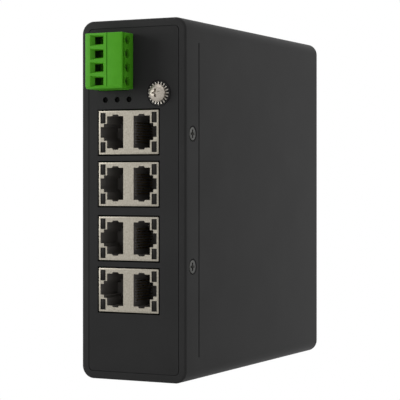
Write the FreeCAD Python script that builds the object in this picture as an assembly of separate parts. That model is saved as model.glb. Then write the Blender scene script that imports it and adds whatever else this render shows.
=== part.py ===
import FreeCAD, Part
import math
import os

from FreeCAD import Vector

# DIN rail ethernet switch with eight ports, in millimetres.
# +X is to the right of somebody who faces the ports, +Y is into the case, +Z is up.
# The origin is the middle of the base.

# ------------------------------------------------------------------ case
case_width = 44.4
case_height = 135.2
case_depth = 126.8
corner_radius = 4.8
front_edge_bevel = 0.55
rear_edge_bevel = 0.4
body_wall = 3.0
skirt_wall = 1.6
skirt_depth = 11.0
face_thickness = 2.4
slip_clearance = 0.05
lip_setback = 0.3
seam_gap = 0.32
seam_gap_depth = 1.2
seam_end_margin = 8.9

# ------------------------------------------------------------------ front film in its recess
film_margin = 2.92
film_thickness = 0.4
film_gap = 0.25
film_corner_radius = 1.8

# ------------------------------------------------------------------ side screws that hold the front cover
side_screw_setback = 5.7
side_screw_spread = 49.3
side_screw_head_diameter = 5.0
side_screw_thread_diameter = 3.0
side_screw_head_height = 1.35
side_screw_length = 5.5
side_countersink_diameter = 6.2
side_screw_recess = 0.15

# ------------------------------------------------------------------ shared fit of screws in their holes
thread_clearance = 0.05
cross_recess_width = 0.75

# ------------------------------------------------------------------ circuit board and its grooves in the body
board_thickness = 1.6
board_wall_gap = 2.8
board_front_setback = 3.4
board_end_gap = 0.3
board_edge_gap = 0.3
groove_rib_height = 1.7
groove_rib_width = 1.2
groove_rib_sunk = 0.5
groove_clearance = 0.1

# ------------------------------------------------------------------ rows of the front, from the top down
plug_centre_below_top = 15.8
light_row_below_plug = 14.1
first_jack_below_lights = 12.35
jack_pitch = 19.4
jack_pair_gap = 1.0
jack_count = 4

# ------------------------------------------------------------------ two-port jacks
jack_width = 25.6
jack_height = 16.5
jack_depth = 27.0
jack_opening_gap = 0.35
shield_thickness = 0.3
port_outer_edge = 3.6
port_inner_edge = 10.6
port_half_height = 6.2
latch_step_edge = 2.2
latch_step_half_height = 3.15
latch_end_edge = 0.8
latch_end_half_height = 2.05
spring_notch_centre = 7.2
spring_notch_width = 2.9
spring_notch_depth = 0.55
spring_notch_slope = 0.5
port_depth = 13.0
window_width = 2.2
window_height = 4.0
window_margin = 0.75
window_recess = 0.25
window_thickness = 1.6
contact_count = 8
contact_pitch = 1.02
contact_width = 0.45
contact_thickness = 0.3
contact_start = 2.6
contact_foot = 1.4
contact_reach = 10.6
contact_rise = 2.2
peg_width = 2.0
peg_clearance = 0.1
peg_setback = 9.0
peg_spread = 9.6
peg_length = 3.0

# ------------------------------------------------------------------ green terminal plug and its header
pole_count = 4
pole_pitch = 5.08
plug_end_wall = 0.2
plug_height = 15.9
plug_drop = 0.85
plug_front_reach = 8.7
plug_back_gap = 0.2
plug_edge_bevel = 0.35
plug_seam_height = 9.2
plug_seam_width = 0.35
plug_seam_depth = 0.3
neck_drop = 1.9
neck_height = 10.8
neck_end_wall_cut = 0.9
neck_insertion = 7.5
neck_clearance = 0.15
header_wall = 0.9
header_back_wall = 1.3
header_cavity_depth = 8.2
header_opening_gap = 0.25
entry_low = 2.4
entry_high = 7.4
entry_half_width = 1.4
funnel_depth = 0.8
funnel_flare = 0.55
chamber_front_wall = 1.3
chamber_half_width = 2.05
chamber_low = 2.0
chamber_high = 12.5
cage_clearance = 0.1
cage_side_wall = 0.45
cage_floor_wall = 0.7
cage_nut_wall = 1.0
cage_length = 7.5
clamp_axis_setback = 4.1
clamp_hole_diameter = 3.2
clamp_ledge = 0.7
clamp_head_diameter = 3.0
clamp_head_height = 1.4
clamp_thread_diameter = 2.4
clamp_tip_below_nut = 0.3
clamp_slot_width = 0.6
clamp_slot_depth = 0.6
clamp_bore_clearance = 0.1
probe_slot_setback = 0.65
probe_slot_width = 1.0
probe_slot_half_height = 1.0
probe_slot_depth = 1.0
pin_width = 1.0
pin_height_on_board = 6.9
pin_tip_setback = 1.2
pin_bend_setback = 11.4
pin_tail = 1.5
contact_leaf = 0.4
contact_leaf_gap = 0.05
contact_leaf_end = 6.0
contact_bar_half_width = 1.2
contact_bar_thickness = 0.6
contact_base = 0.5
contact_chamber_gap = 0.3

# ------------------------------------------------------------------ status lights
light_count = 3
light_pitch = 5.1
light_first_height = 2.85
light_hole_diameter = 2.2
light_clearance = 0.1
light_recess = 0.5
light_length = 6.0
light_window_margin = 2.0
light_block_depth = 5.0
light_block_height = 4.0
light_block_top = 1.5

# ------------------------------------------------------------------ ground screw and its toothed washer
ground_from_right = 11.3
ground_above_lights = 2.0
ground_thread_diameter = 3.5
ground_head_diameter = 6.4
ground_head_height = 2.6
ground_head_dome = 0.9
ground_screw_length = 8.0
ground_boss_diameter = 7.6
ground_boss_depth = 7.0
washer_diameter = 8.4
washer_thickness = 0.5
washer_tooth_count = 20
washer_tooth_depth = 1.15
washer_tooth_root = 0.4
washer_tooth_width = 0.5
washer_tooth_twist = 20.0
washer_tooth_slack = 0.02
washer_hole_clearance = 0.2
ground_pad_diameter = 9.4

# ------------------------------------------------------------------ rear plate
rear_plate_thickness = 2.0
rear_plate_inset = 0.3
rear_plate_clearance = 0.1
lug_size = 8.0
lug_depth = 8.0
lug_wall_overlap = 0.5
rear_screw_diameter = 3.0
rear_screw_head_diameter = 5.6
rear_screw_head_height = 1.65
rear_screw_length = 8.0

# ------------------------------------------------------------------ clip for a 35 mm top hat rail
rail_height = 35.0
rail_brim = 1.0
rail_fit = 0.2
clip_width = 34.0
clip_below_rail_centre = 30.0
clip_hook_wall = 4.9
clip_thickness = 3.6
clip_floor = 1.6
clip_lip_reach = 1.6
clip_hook_depth = 3.4
clip_brim_room = 0.3
channel_width = 16.4
channel_above_centre = 10.0
guide_lip_width = 1.0
guide_lip_thickness = 0.6
guide_lip_above_centre = 2.0
slider_clearance = 0.06
slider_top_below_centre = 2.0
slider_tail = 6.5
slider_nose_wall = 4.4
pull_slot_width = 6.0
pull_slot_height = 2.4
pull_slot_margin = 2.0
spring_window_width = 4.4
spring_window_below_nose = 0.2
spring_post_height = 2.0
spring_post_gap = 0.3
spring_length = 8.0
spring_room_below_centre = 3.5
spring_coil_radius = 0.68
spring_wire_radius = 0.15
spring_turns = 6
spring_sides = 8
spring_end_gap = 0.02
clip_screw_spread = 25.0
clip_screw_length = 6.0

# ------------------------------------------------------------------ parts on the board
chip_size = 17.0
chip_height = 1.4
chip_setback = 56.0
chip_centre_height = 62.0
sink_size = 22.0
sink_base = 2.0
sink_fin_height = 8.0
sink_fin_thickness = 1.2
sink_fin_count = 6
capacitor_diameter = 8.0
capacitor_height = 11.5
capacitor_setback = 44.0
capacitor_spacing = 11.0
capacitor_below_top = 15.0
inductor_size = 12.0
inductor_height = 7.0
inductor_setback = 72.0
crystal_length = 11.0
crystal_width = 4.6
crystal_height = 3.6
crystal_gap = 8.0
diode_length = 7.0
diode_width = 6.0
diode_height = 2.4
diode_gap = 3.0
diode_count = 4

# ------------------------------------------------------------------ planes worked out from the sizes above
front = -case_depth / 2
rear = case_depth / 2
seam = front + skirt_depth
inner_left = -case_width / 2 + body_wall
board_under = inner_left + board_wall_gap
board_top = board_under + board_thickness
board_front = front + board_front_setback
board_low = body_wall + board_edge_gap
board_high = case_height - body_wall - board_edge_gap

plug_middle = case_height - plug_centre_below_top
light_row = plug_middle - light_row_below_plug
first_jack = light_row - first_jack_below_lights
jack_middle_x = board_top + jack_width / 2

plug_low_x = board_top - plug_drop
plug_high_x = plug_low_x + plug_height
plug_front = front - plug_front_reach
plug_back = front - plug_back_gap
plug_half_length = pole_count * pole_pitch / 2 + plug_end_wall
neck_low_x = plug_low_x + neck_drop
neck_high_x = neck_low_x + neck_height
neck_half_length = plug_half_length - neck_end_wall_cut
clamp_axis = plug_front + clamp_axis_setback
chamber_front = plug_front + chamber_front_wall
chamber_rear = plug_front + chamber_front_wall + 2 * (clamp_axis_setback - chamber_front_wall)
chamber_floor = plug_low_x + chamber_low
chamber_roof = plug_low_x + chamber_high
cage_floor = chamber_floor + cage_clearance
cage_roof = cage_floor + cage_length
pin_centre_x = board_top + pin_height_on_board

ground_x = case_width / 2 - ground_from_right
ground_z = light_row + ground_above_lights

rear_face = rear - rear_plate_inset
plate_front = rear_face - rear_plate_thickness
board_rear = plate_front - board_end_gap
rail_centre = case_height / 2
rail_plane = rear_face + clip_thickness
rail_top = rail_centre + rail_height / 2
rail_bottom = rail_centre - rail_height / 2
clip_low = rail_centre - clip_below_rail_centre
clip_high = rail_top + clip_hook_wall


# ------------------------------------------------------------------ helpers
def block(x_span, y_span, z_span):
    """Straight block between the given limits."""
    corner = Vector(x_span[0], y_span[0], z_span[0])
    return Part.makeBox(
        x_span[1] - x_span[0], y_span[1] - y_span[0], z_span[1] - z_span[0], corner
    )


def rod(radius, start, end):
    """Round rod from one point to another."""
    start = Vector(*start)
    direction = Vector(*end) - start
    return Part.makeCylinder(radius, direction.Length, start, direction)


def cone(start_radius, end_radius, start, end):
    """Round taper from one point to another."""
    start = Vector(*start)
    direction = Vector(*end) - start
    return Part.makeCone(start_radius, end_radius, direction.Length, start, direction)


def rounded_tube(width, height, radius, y_span, base=0.0, middle=0.0):
    """Block that runs along Y, with its four long edges rounded."""
    solid = block((middle - width / 2, middle + width / 2), y_span, (base, base + height))
    long_edges = [edge for edge in solid.Edges if abs(edge.tangentAt(edge.FirstParameter).y) > 0.99]
    return solid.makeFillet(radius, long_edges)


def bevel_end(solid, y_plane, width):
    """Bevel every edge that lies wholly in the plane at y_plane."""
    rim = [
        edge
        for edge in solid.Edges
        if abs(edge.BoundBox.YMin - y_plane) < 1e-6 and abs(edge.BoundBox.YMax - y_plane) < 1e-6
    ]
    return solid.makeChamfer(width, rim)


def prism(points, y_span):
    """Flat outline of (x, z) points, drawn along Y."""
    corners = [Vector(x, y_span[0], z) for x, z in points]
    face = Part.Face(Part.makePolygon(corners + corners[:1]))
    return face.extrude(Vector(0, y_span[1] - y_span[0], 0))


def bar(points, z_span):
    """Flat outline of (x, y) points, drawn along Z."""
    corners = [Vector(x, y, z_span[0]) for x, y in points]
    face = Part.Face(Part.makePolygon(corners + corners[:1]))
    return face.extrude(Vector(0, 0, z_span[1] - z_span[0]))


def frustum(near_box, near_y, far_box, far_y):
    """Straight-sided funnel between two rectangles, each (x low, x high, z low, z high)."""
    wires = []
    for (x_low, x_high, z_low, z_high), y in ((near_box, near_y), (far_box, far_y)):
        corners = [
            Vector(x_low, y, z_low),
            Vector(x_high, y, z_low),
            Vector(x_high, y, z_high),
            Vector(x_low, y, z_high),
        ]
        wires.append(Part.makePolygon(corners + corners[:1]))
    return Part.makeLoft(wires, True, True)


def cross_recess(centre, across, width, depth, axis):
    """Cross-shaped driver recess, cut from centre into the head along axis."""
    inward = Vector(*axis)
    centre = Vector(*centre)
    arms = []
    for turn in (0, 90):
        arm = Part.makeBox(across, width, depth, Vector(-across / 2, -width / 2, 0))
        arm.rotate(Vector(0, 0, 0), Vector(0, 0, 1), turn)
        arms.append(arm)
    recess = arms[0].fuse(arms[1])
    recess.Placement = FreeCAD.Placement(centre, FreeCAD.Rotation(Vector(0, 0, 1), inward))
    return recess


def joined(solids):
    """One solid from several that touch or overlap."""
    whole = solids[0].fuse(solids[1:])
    return whole.removeSplitter()


def cut(solid, tools):
    """The solid less every tool."""
    return solid.cut(tools)


def save(name, solids):
    """Write one node's STEP file."""
    shape = solids[0] if len(solids) == 1 else Part.makeCompound(solids)
    shape.exportStep("parts/" + name + ".step")


# ------------------------------------------------------------------ places that several pieces share
def jack_heights():
    """Height of the middle of each jack, from the top down, with a wider gap between the pairs."""
    heights = []
    for index in range(jack_count):
        heights.append(first_jack - index * jack_pitch - (index // 2) * jack_pair_gap)
    return heights


def pole_heights():
    """Height of the middle of each pole of the terminal plug, from the bottom up."""
    first = plug_middle - (pole_count - 1) * pole_pitch / 2
    return [first + index * pole_pitch for index in range(pole_count)]


def light_places():
    """X of each status light, counted off the board."""
    return [board_top + light_first_height + index * light_pitch for index in range(light_count)]


def side_screw_places():
    """Side, -1 or 1, and height of each screw that holds the front cover."""
    middle = case_height / 2
    return [(side, middle + way * side_screw_spread / 2) for side in (-1, 1) for way in (-1, 1)]


def lug_places():
    """X and height of the middle of each lug, at the bottom and at the top of the rear."""
    low = body_wall + lug_size / 2
    return [(0.0, low), (0.0, case_height - low)]


def clip_screw_places():
    """X and height of each screw of the rail clip."""
    return [(side * clip_screw_spread / 2, rail_centre) for side in (-1, 1)]


# ------------------------------------------------------------------ case
def film_outline(gap, y_span):
    """Rounded block of the front film's outline, drawn in by the gap."""
    inset = film_margin + gap
    return rounded_tube(
        case_width - 2 * inset, case_height - 2 * inset, film_corner_radius - gap, y_span, inset
    )


def front_openings(y_span):
    """What passes through both the cover's face and its film: the jacks and the header."""
    tools = []
    half_width = jack_width / 2 + jack_opening_gap
    half_height = jack_height / 2 + jack_opening_gap
    for z in jack_heights():
        x_span = (jack_middle_x - half_width, jack_middle_x + half_width)
        tools.append(block(x_span, y_span, (z - half_height, z + half_height)))
    (x_low, x_high), half_length = header_outline()
    x_span = (x_low - header_opening_gap, x_high + header_opening_gap)
    reach = half_length + header_opening_gap
    tools.append(block(x_span, y_span, (plug_middle - reach, plug_middle + reach)))
    return tools


def light_window(y_span):
    """Slot in the cover's face behind the film, for the whole row of lights."""
    margin = light_window_margin
    x_span = (light_places()[0] - margin, light_places()[-1] + margin)
    return block(x_span, y_span, (light_row - margin, light_row + margin))


def light_holes(y_span):
    """One round hole in the film for each status light."""
    radius = light_hole_diameter / 2
    return [rod(radius, (x, y_span[0], light_row), (x, y_span[1], light_row)) for x in light_places()]


def ground_pad(radius, y_span):
    """Round pad of bare metal that the toothed washer bites."""
    return rod(radius, (ground_x, y_span[0], ground_z), (ground_x, y_span[1], ground_z))


def front_cover():
    """Cast front cover: face, recess for the film, skirt with countersunk holes, ground boss."""
    outer = rounded_tube(case_width, case_height, corner_radius, (front, seam))
    outer = bevel_end(outer, front, front_edge_bevel)
    inside = rounded_tube(
        case_width - 2 * skirt_wall,
        case_height - 2 * skirt_wall,
        corner_radius - skirt_wall,
        (front + face_thickness, seam),
        skirt_wall,
    )
    shell = outer.cut(inside)
    boss_end = front + face_thickness + ground_boss_depth
    boss = rod(ground_boss_diameter / 2, (ground_x, front + film_thickness, ground_z),
               (ground_x, boss_end, ground_z))
    recess = film_outline(0.0, (front - 1, front + film_thickness))
    recess = recess.cut(ground_pad(ground_pad_diameter / 2, (front - 1, front + film_thickness)))
    shell = shell.fuse(boss)
    tools = [recess]
    tools += front_openings((front - 1, front + face_thickness + 1))
    tools.append(light_window((front - 1, front + face_thickness + 1)))
    screw_radius = ground_thread_diameter / 2 + thread_clearance
    hole_end = front - washer_thickness + ground_screw_length + thread_clearance
    tools.append(rod(screw_radius, (ground_x, front - 1, ground_z), (ground_x, hole_end, ground_z)))
    relief_z = (seam_end_margin, case_height - seam_end_margin)
    for side in (-1, 1):
        outside = side * (case_width / 2 + 1)
        inner = side * (case_width / 2 - seam_gap_depth)
        x_span = (min(outside, inner), max(outside, inner))
        tools.append(block(x_span, (seam - seam_gap, seam + 1), relief_z))
    for side, z in side_screw_places():
        tools += side_screw_hole(side, z)
    return cut(shell, tools)


def side_screw_hole(side, z):
    """Clearance hole and countersink for one side screw."""
    y = front + side_screw_setback
    face = side * case_width / 2
    depth = side_screw_head_height + side_screw_recess
    inner = side * (case_width / 2 - depth)
    shank = side_screw_thread_diameter / 2 + thread_clearance
    slope = (side_screw_head_diameter / 2 - side_screw_thread_diameter / 2) / side_screw_head_height
    sink_gap = (side_countersink_diameter - side_screw_head_diameter) / 2
    outer_radius = side_countersink_diameter / 2
    sink = cone(outer_radius, outer_radius - slope * depth, (face, y, z), (inner, y, z))
    hole = rod(shank + sink_gap / 2, (face, y, z), (side * (case_width / 2 - skirt_wall - 1), y, z))
    return [sink, hole]


def front_film():
    """Printed film that fills the recess of the front cover, with the same openings."""
    film = film_outline(film_gap, (front, front + film_thickness))
    tools = front_openings((front - 1, front + face_thickness))
    tools += light_holes((front - 1, front + face_thickness))
    tools.append(ground_pad(ground_pad_diameter / 2 + film_gap, (front - 1, front + face_thickness)))
    return cut(film, tools)


def body_shell():
    """Extruded body: walls, a front lip under the cover's skirt, board grooves, rear plate lugs."""
    outer = rounded_tube(case_width, case_height, corner_radius, (seam, rear))
    outer = bevel_end(outer, rear, rear_edge_bevel)
    lip_inset = skirt_wall + slip_clearance
    lip_front = front + face_thickness + lip_setback
    lip = rounded_tube(
        case_width - 2 * lip_inset,
        case_height - 2 * lip_inset,
        corner_radius - lip_inset,
        (lip_front, seam + 1),
        lip_inset,
    )
    hollow = rounded_tube(
        case_width - 2 * body_wall,
        case_height - 2 * body_wall,
        corner_radius - body_wall,
        (front, rear + 1),
        body_wall,
    )
    shell = outer.fuse(lip).cut(hollow)
    lugs = []
    holes = []
    for x, z in lug_places():
        reach = lug_size / 2
        grown = reach + lug_wall_overlap
        z_span = (z - reach, z + grown) if z > rail_centre else (z - grown, z + reach)
        lugs.append(block((x - reach, x + reach), (plate_front - lug_depth, plate_front), z_span))
        radius = rear_screw_diameter / 2 + thread_clearance
        holes.append(rod(radius, (x, plate_front - lug_depth - 1, z), (x, plate_front + 1, z)))
    for side, z in side_screw_places():
        radius = side_screw_thread_diameter / 2 + thread_clearance
        start = (side * case_width / 2, front + side_screw_setback, z)
        end = (side * (case_width / 2 - body_wall - 1), front + side_screw_setback, z)
        holes.append(rod(radius, start, end))
    return shell.fuse(lugs + groove_ribs(lip_front)).cut(holes)


def groove_ribs(start):
    """Two ribs along the bottom wall and two along the top, with the board between each pair."""
    ribs = []
    under = board_under - groove_clearance
    over = board_top + groove_clearance
    foot = body_wall - groove_rib_sunk
    inside = body_wall + groove_rib_height
    for x_low in (under - groove_rib_width, over):
        for z_span in ((foot, inside), (case_height - inside, case_height - foot)):
            ribs.append(block((x_low, x_low + groove_rib_width), (start, plate_front), z_span))
    return ribs


def side_screws():
    """Four countersunk screws."""
    screws = []
    y = front + side_screw_setback
    for side, z in side_screw_places():
        top = side * (case_width / 2 - side_screw_recess)
        neck = top - side * side_screw_head_height
        tip = top - side * side_screw_length
        head = cone(side_screw_head_diameter / 2, side_screw_thread_diameter / 2, (top, y, z), (neck, y, z))
        shank = rod(side_screw_thread_diameter / 2, (neck, y, z), (tip, y, z))
        screws.append(head.fuse(shank))
    return screws


def rear_plate():
    """Flat plate let into the rear of the body, on two lugs."""
    inset = body_wall + rear_plate_clearance
    plate = rounded_tube(
        case_width - 2 * inset,
        case_height - 2 * inset,
        corner_radius - inset,
        (plate_front, rear_face),
        inset,
    )
    tools = []
    for x, z in lug_places():
        tools += rear_screw_hole(x, z)
    for x, z in clip_screw_places():
        radius = rear_screw_diameter / 2 + thread_clearance
        tools.append(rod(radius, (x, plate_front - 1, z), (x, rear_face + 1, z)))
    return cut(plate, tools)


def rear_screw_hole(x, z, face=None):
    """Clearance hole and countersink for a screw driven in from behind."""
    face = rear_face if face is None else face
    gap = thread_clearance
    head_end = face - rear_screw_head_height
    sink = cone(rear_screw_diameter / 2 + gap, rear_screw_head_diameter / 2 + gap,
                (x, head_end, z), (x, face, z))
    hole = rod(rear_screw_diameter / 2 + gap, (x, plate_front - 1, z), (x, face, z))
    return [sink, hole]


def countersunk_screws(places, face, length):
    """Countersunk screws driven in from behind, heads flush with the face."""
    screws = []
    for x, z in places:
        head_end = face - rear_screw_head_height
        head = cone(rear_screw_diameter / 2, rear_screw_head_diameter / 2, (x, head_end, z), (x, face, z))
        shank = rod(rear_screw_diameter / 2, (x, face - length, z), (x, head_end, z))
        screws.append(shank.fuse(head))
    return screws


def ground_screw():
    """Pan head screw with a domed top and a cross recess."""
    under = front - washer_thickness
    flat_top = under - (ground_head_height - ground_head_dome)
    top = under - ground_head_height
    radius = ground_head_diameter / 2
    dome_radius = (radius ** 2 + ground_head_dome ** 2) / (2 * ground_head_dome)
    axis_low = (ground_x, under, ground_z)
    head = rod(radius, axis_low, (ground_x, flat_top - ground_head_dome, ground_z))
    ball = Part.makeSphere(dome_radius, Vector(ground_x, top + dome_radius, ground_z))
    head = head.common(ball)
    shank = rod(ground_thread_diameter / 2, axis_low, (ground_x, under + ground_screw_length, ground_z))
    recess = cross_recess((ground_x, top, ground_z), radius * 1.15, cross_recess_width,
                          ground_head_height * 0.6, (0, 1, 0))
    return head.fuse(shank).cut(recess)


def toothed_washer():
    """Lock washer whose outer teeth are each twisted out of the flat."""
    centre = Vector(ground_x, front, ground_z)
    outward = Vector(0, -1, 0)
    root_radius = washer_diameter / 2 - washer_tooth_depth
    hole_radius = ground_thread_diameter / 2 + washer_hole_clearance
    ring = Part.makeCylinder(root_radius, washer_thickness, centre, outward)
    hole = Part.makeCylinder(hole_radius, washer_thickness, centre, outward)
    teeth = []
    twist = math.radians(washer_tooth_twist)
    room = washer_thickness - washer_tooth_slack - washer_tooth_width * math.sin(twist)
    thin = room / math.cos(twist)
    for index in range(washer_tooth_count):
        tooth = Part.makeBox(washer_tooth_depth + washer_tooth_root, thin, washer_tooth_width)
        tooth.translate(Vector(0, -thin / 2, -washer_tooth_width / 2))
        tooth.rotate(Vector(0, 0, 0), Vector(1, 0, 0), washer_tooth_twist)
        tooth.translate(Vector(root_radius - washer_tooth_root, -washer_thickness / 2, 0))
        tooth.rotate(Vector(0, 0, 0), Vector(0, 1, 0), 360.0 * index / washer_tooth_count)
        tooth.translate(centre)
        teeth.append(tooth)
    return ring.fuse(teeth).cut(hole)


# ------------------------------------------------------------------ board
def main_board():
    """Upright circuit board, with holes for the jack pegs and the header pins."""
    board = block((board_under, board_top), (board_front, board_rear), (board_low, board_high))
    tools = []
    x_span = (board_under - 1, board_top + 1)
    half = peg_width / 2 + peg_clearance
    y = front + peg_setback
    for z in jack_heights():
        for way in (-1, 1):
            height = z + way * peg_spread / 2
            tools.append(block(x_span, (y - half, y + half), (height - half, height + half)))
    half = pin_width / 2 + peg_clearance
    bend = front + pin_bend_setback
    for z in pole_heights():
        tools.append(block(x_span, (bend - half, bend + half), (z - half, z + half)))
    return cut(board, tools)


# ------------------------------------------------------------------ jacks
def port_outline(side, z, grow, with_notches):
    """Outline of one port: main opening, two latch steps outwards, spring notches above and below."""
    def place(local):
        return jack_middle_x + side * (jack_width / 2 - local)

    inner = port_inner_edge + grow
    outer = port_outer_edge - grow
    step = latch_step_edge - grow
    end = latch_end_edge - min(grow, 0.0)
    tall = port_half_height + grow
    mid = latch_step_half_height + grow
    low = latch_end_half_height + grow
    upper = [(inner, tall)]
    if with_notches:
        near = spring_notch_centre + spring_notch_width / 2
        far = spring_notch_centre - spring_notch_width / 2
        top = tall + spring_notch_depth
        upper += [(near, tall), (near - spring_notch_slope, top)]
        upper += [(far + spring_notch_slope, top), (far, tall)]
    upper += [(outer, tall), (outer, mid), (step, mid), (step, low), (end, low)]
    lower = [(x, -height) for x, height in reversed(upper)]
    return [(place(x), z + height) for x, height in upper + lower]


def window_boxes(z):
    """X and Z limits of the four light windows of one jack."""
    boxes = []
    for side in (-1, 1):
        outer = jack_middle_x + side * (jack_width / 2 - window_margin)
        inner = outer - side * window_width
        x_span = (min(outer, inner), max(outer, inner))
        for way in (-1, 1):
            far = z + way * (jack_height / 2 - window_margin)
            near = far - way * window_height
            boxes.append((x_span, (min(far, near), max(far, near))))
    return boxes


def jack_shield(z):
    """Folded shield: face with ports and windows, sides, top and back, open towards the board."""
    half_height = jack_height / 2
    x_span = (board_top, board_top + jack_width)
    outer = block(x_span, (front, front + jack_depth), (z - half_height, z + half_height))
    inside = block(
        (x_span[0] - 1, x_span[1] - shield_thickness),
        (front + shield_thickness, front + jack_depth - shield_thickness),
        (z - half_height + shield_thickness, z + half_height - shield_thickness),
    )
    face_span = (front - 1, front + shield_thickness + 1)
    tools = [inside]
    for side in (-1, 1):
        tools.append(prism(port_outline(side, z, 0.0, True), face_span))
    for window_x, window_z in window_boxes(z):
        tools.append(block(window_x, face_span, window_z))
    return cut(outer, tools)


def jack_insert(z):
    """Moulded insert of one jack: two port cavities, four light channels and two locating pegs."""
    inset = shield_thickness
    half_height = jack_height / 2 - inset
    solid = block(
        (board_top, board_top + jack_width - inset),
        (front + inset, front + jack_depth - inset),
        (z - half_height, z + half_height),
    )
    cavity_span = (front, front + port_depth)
    tools = []
    for side in (-1, 1):
        tools.append(prism(port_outline(side, z, 0.1, False), cavity_span))
    for window_x, window_z in window_boxes(z):
        tools.append(block(window_x, (front, front + window_recess + window_thickness), window_z))
    solid = cut(solid, tools)
    pegs = []
    half = peg_width / 2
    y = front + peg_setback
    for way in (-1, 1):
        height = z + way * peg_spread / 2
        x_span = (board_top - peg_length, board_top)
        pegs.append(block(x_span, (y - half, y + half), (height - half, height + half)))
    return solid.fuse(pegs)


def jack_windows(z):
    """Four clear light windows, set back behind the shield's face."""
    y_span = (front + window_recess, front + window_recess + window_thickness)
    return [block(window_x, y_span, window_z) for window_x, window_z in window_boxes(z)]


def jack_contacts(z):
    """Sprung contacts of both ports: each lies along the inner wall and rises towards the back."""
    wires = []
    wall = port_inner_edge + 0.1
    for side in (-1, 1):
        def place(local):
            return jack_middle_x + side * (jack_width / 2 - local)

        outline = [
            (place(wall), front + contact_start),
            (place(wall), front + contact_start + contact_foot),
            (place(wall - contact_rise), front + contact_reach),
            (place(wall - contact_rise - contact_thickness), front + contact_reach),
            (place(wall - contact_thickness), front + contact_start + contact_foot - contact_thickness),
            (place(wall - contact_thickness), front + contact_start),
        ]
        first = z - (contact_count - 1) * contact_pitch / 2
        for index in range(contact_count):
            middle = first + index * contact_pitch
            wires.append(bar(outline, (middle - contact_width / 2, middle + contact_width / 2)))
    return wires


# ------------------------------------------------------------------ terminal plug and header
def header_outline():
    """X limits and half length of the header, which stands on the board around the plug's neck."""
    half_length = neck_half_length + neck_clearance + header_wall
    return (board_top, neck_high_x + neck_clearance + header_wall), half_length


def terminal_header():
    """Green socket that stands on the board behind the front, open towards the plug."""
    (x_low, x_high), half_length = header_outline()
    back = front + header_cavity_depth + header_back_wall
    solid = block((x_low, x_high), (front, back), (plug_middle - half_length, plug_middle + half_length))
    reach = neck_half_length + neck_clearance
    tools = [
        block(
            (neck_low_x - neck_clearance, neck_high_x + neck_clearance),
            (front - 1, front + header_cavity_depth),
            (plug_middle - reach, plug_middle + reach),
        )
    ]
    half = pin_width / 2
    for z in pole_heights():
        x_span = (pin_centre_x - half, pin_centre_x + half)
        tools.append(block(x_span, (front, back + 1), (z - half, z + half)))
    return cut(solid, tools)


def header_pins():
    """Four square pins, bent down through the board behind the header."""
    pins = []
    half = pin_width / 2
    tip = front + pin_tip_setback
    bend = front + pin_bend_setback
    for z in pole_heights():
        z_span = (z - half, z + half)
        along = block((pin_centre_x - half, pin_centre_x + half), (tip, bend + half), z_span)
        down = block((board_under - pin_tail, pin_centre_x + half), (bend - half, bend + half), z_span)
        pins.append(joined([along, down]))
    return pins


def terminal_plug():
    """Green plug body: four wire funnels, clamp chambers, driver holes and the neck in the header."""
    low, high = plug_middle - plug_half_length, plug_middle + plug_half_length
    solid = block((plug_low_x, plug_high_x), (plug_front, plug_back), (low, high))
    solid = solid.makeChamfer(plug_edge_bevel, solid.Edges)
    neck = block(
        (neck_low_x, neck_high_x),
        (plug_back - plug_edge_bevel, front + neck_insertion),
        (plug_middle - neck_half_length, plug_middle + neck_half_length),
    )
    solid = joined([solid, neck])
    seam_x = plug_low_x + plug_seam_height
    tools = [
        block((seam_x, seam_x + plug_seam_width), (plug_front - 1, plug_front + plug_seam_depth),
              (low - 1, high + 1))
    ]
    for z in pole_heights():
        tools += pole_cuts(z)
    return cut(solid, tools)


def pole_cuts(z):
    """What is hollowed out of the plug for one pole."""
    entry = (plug_low_x + entry_low, plug_low_x + entry_high, z - entry_half_width, z + entry_half_width)
    flare = funnel_flare
    mouth = (entry[0] - flare, entry[1] + flare * 0.4, entry[2] - flare, entry[3] + flare)
    funnel = frustum(mouth, plug_front - 0.001, entry, plug_front + funnel_depth)
    hole = block((entry[0], entry[1]), (plug_front, chamber_front + 0.5), (entry[2], entry[3]))
    chamber = block(
        (chamber_floor, chamber_roof),
        (chamber_front, chamber_rear),
        (z - chamber_half_width, z + chamber_half_width),
    )
    ledge_top = chamber_roof + clamp_ledge
    reach = clamp_thread_diameter / 2 + clamp_bore_clearance
    shank = block((chamber_roof - 0.5, ledge_top), (clamp_axis - reach, clamp_axis + reach),
                  (z - reach, z + reach))
    driver = rod(clamp_hole_diameter / 2, (ledge_top, clamp_axis, z), (plug_high_x + 1, clamp_axis, z))
    slot_front = plug_front + probe_slot_setback
    probe = block(
        (plug_high_x - probe_slot_depth, plug_high_x + 1),
        (slot_front, slot_front + probe_slot_width),
        (z - probe_slot_half_height, z + probe_slot_half_height),
    )
    half = pin_width / 2 + contact_leaf_gap + contact_leaf
    fork_x = (pin_centre_x - half - contact_leaf_gap, pin_centre_x + half + contact_leaf_gap)
    side = contact_bar_half_width + contact_leaf_gap
    fork = block(fork_x, (plug_back, front + neck_insertion + 1), (z - side, z + side))
    bar_half = contact_bar_thickness / 2
    slot = block((pin_centre_x - bar_half, pin_centre_x + bar_half), (chamber_rear - 0.5, plug_back + 0.5),
                 (z - side, z + side))
    return [funnel, hole, chamber, shank, driver, probe, fork, slot]


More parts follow.
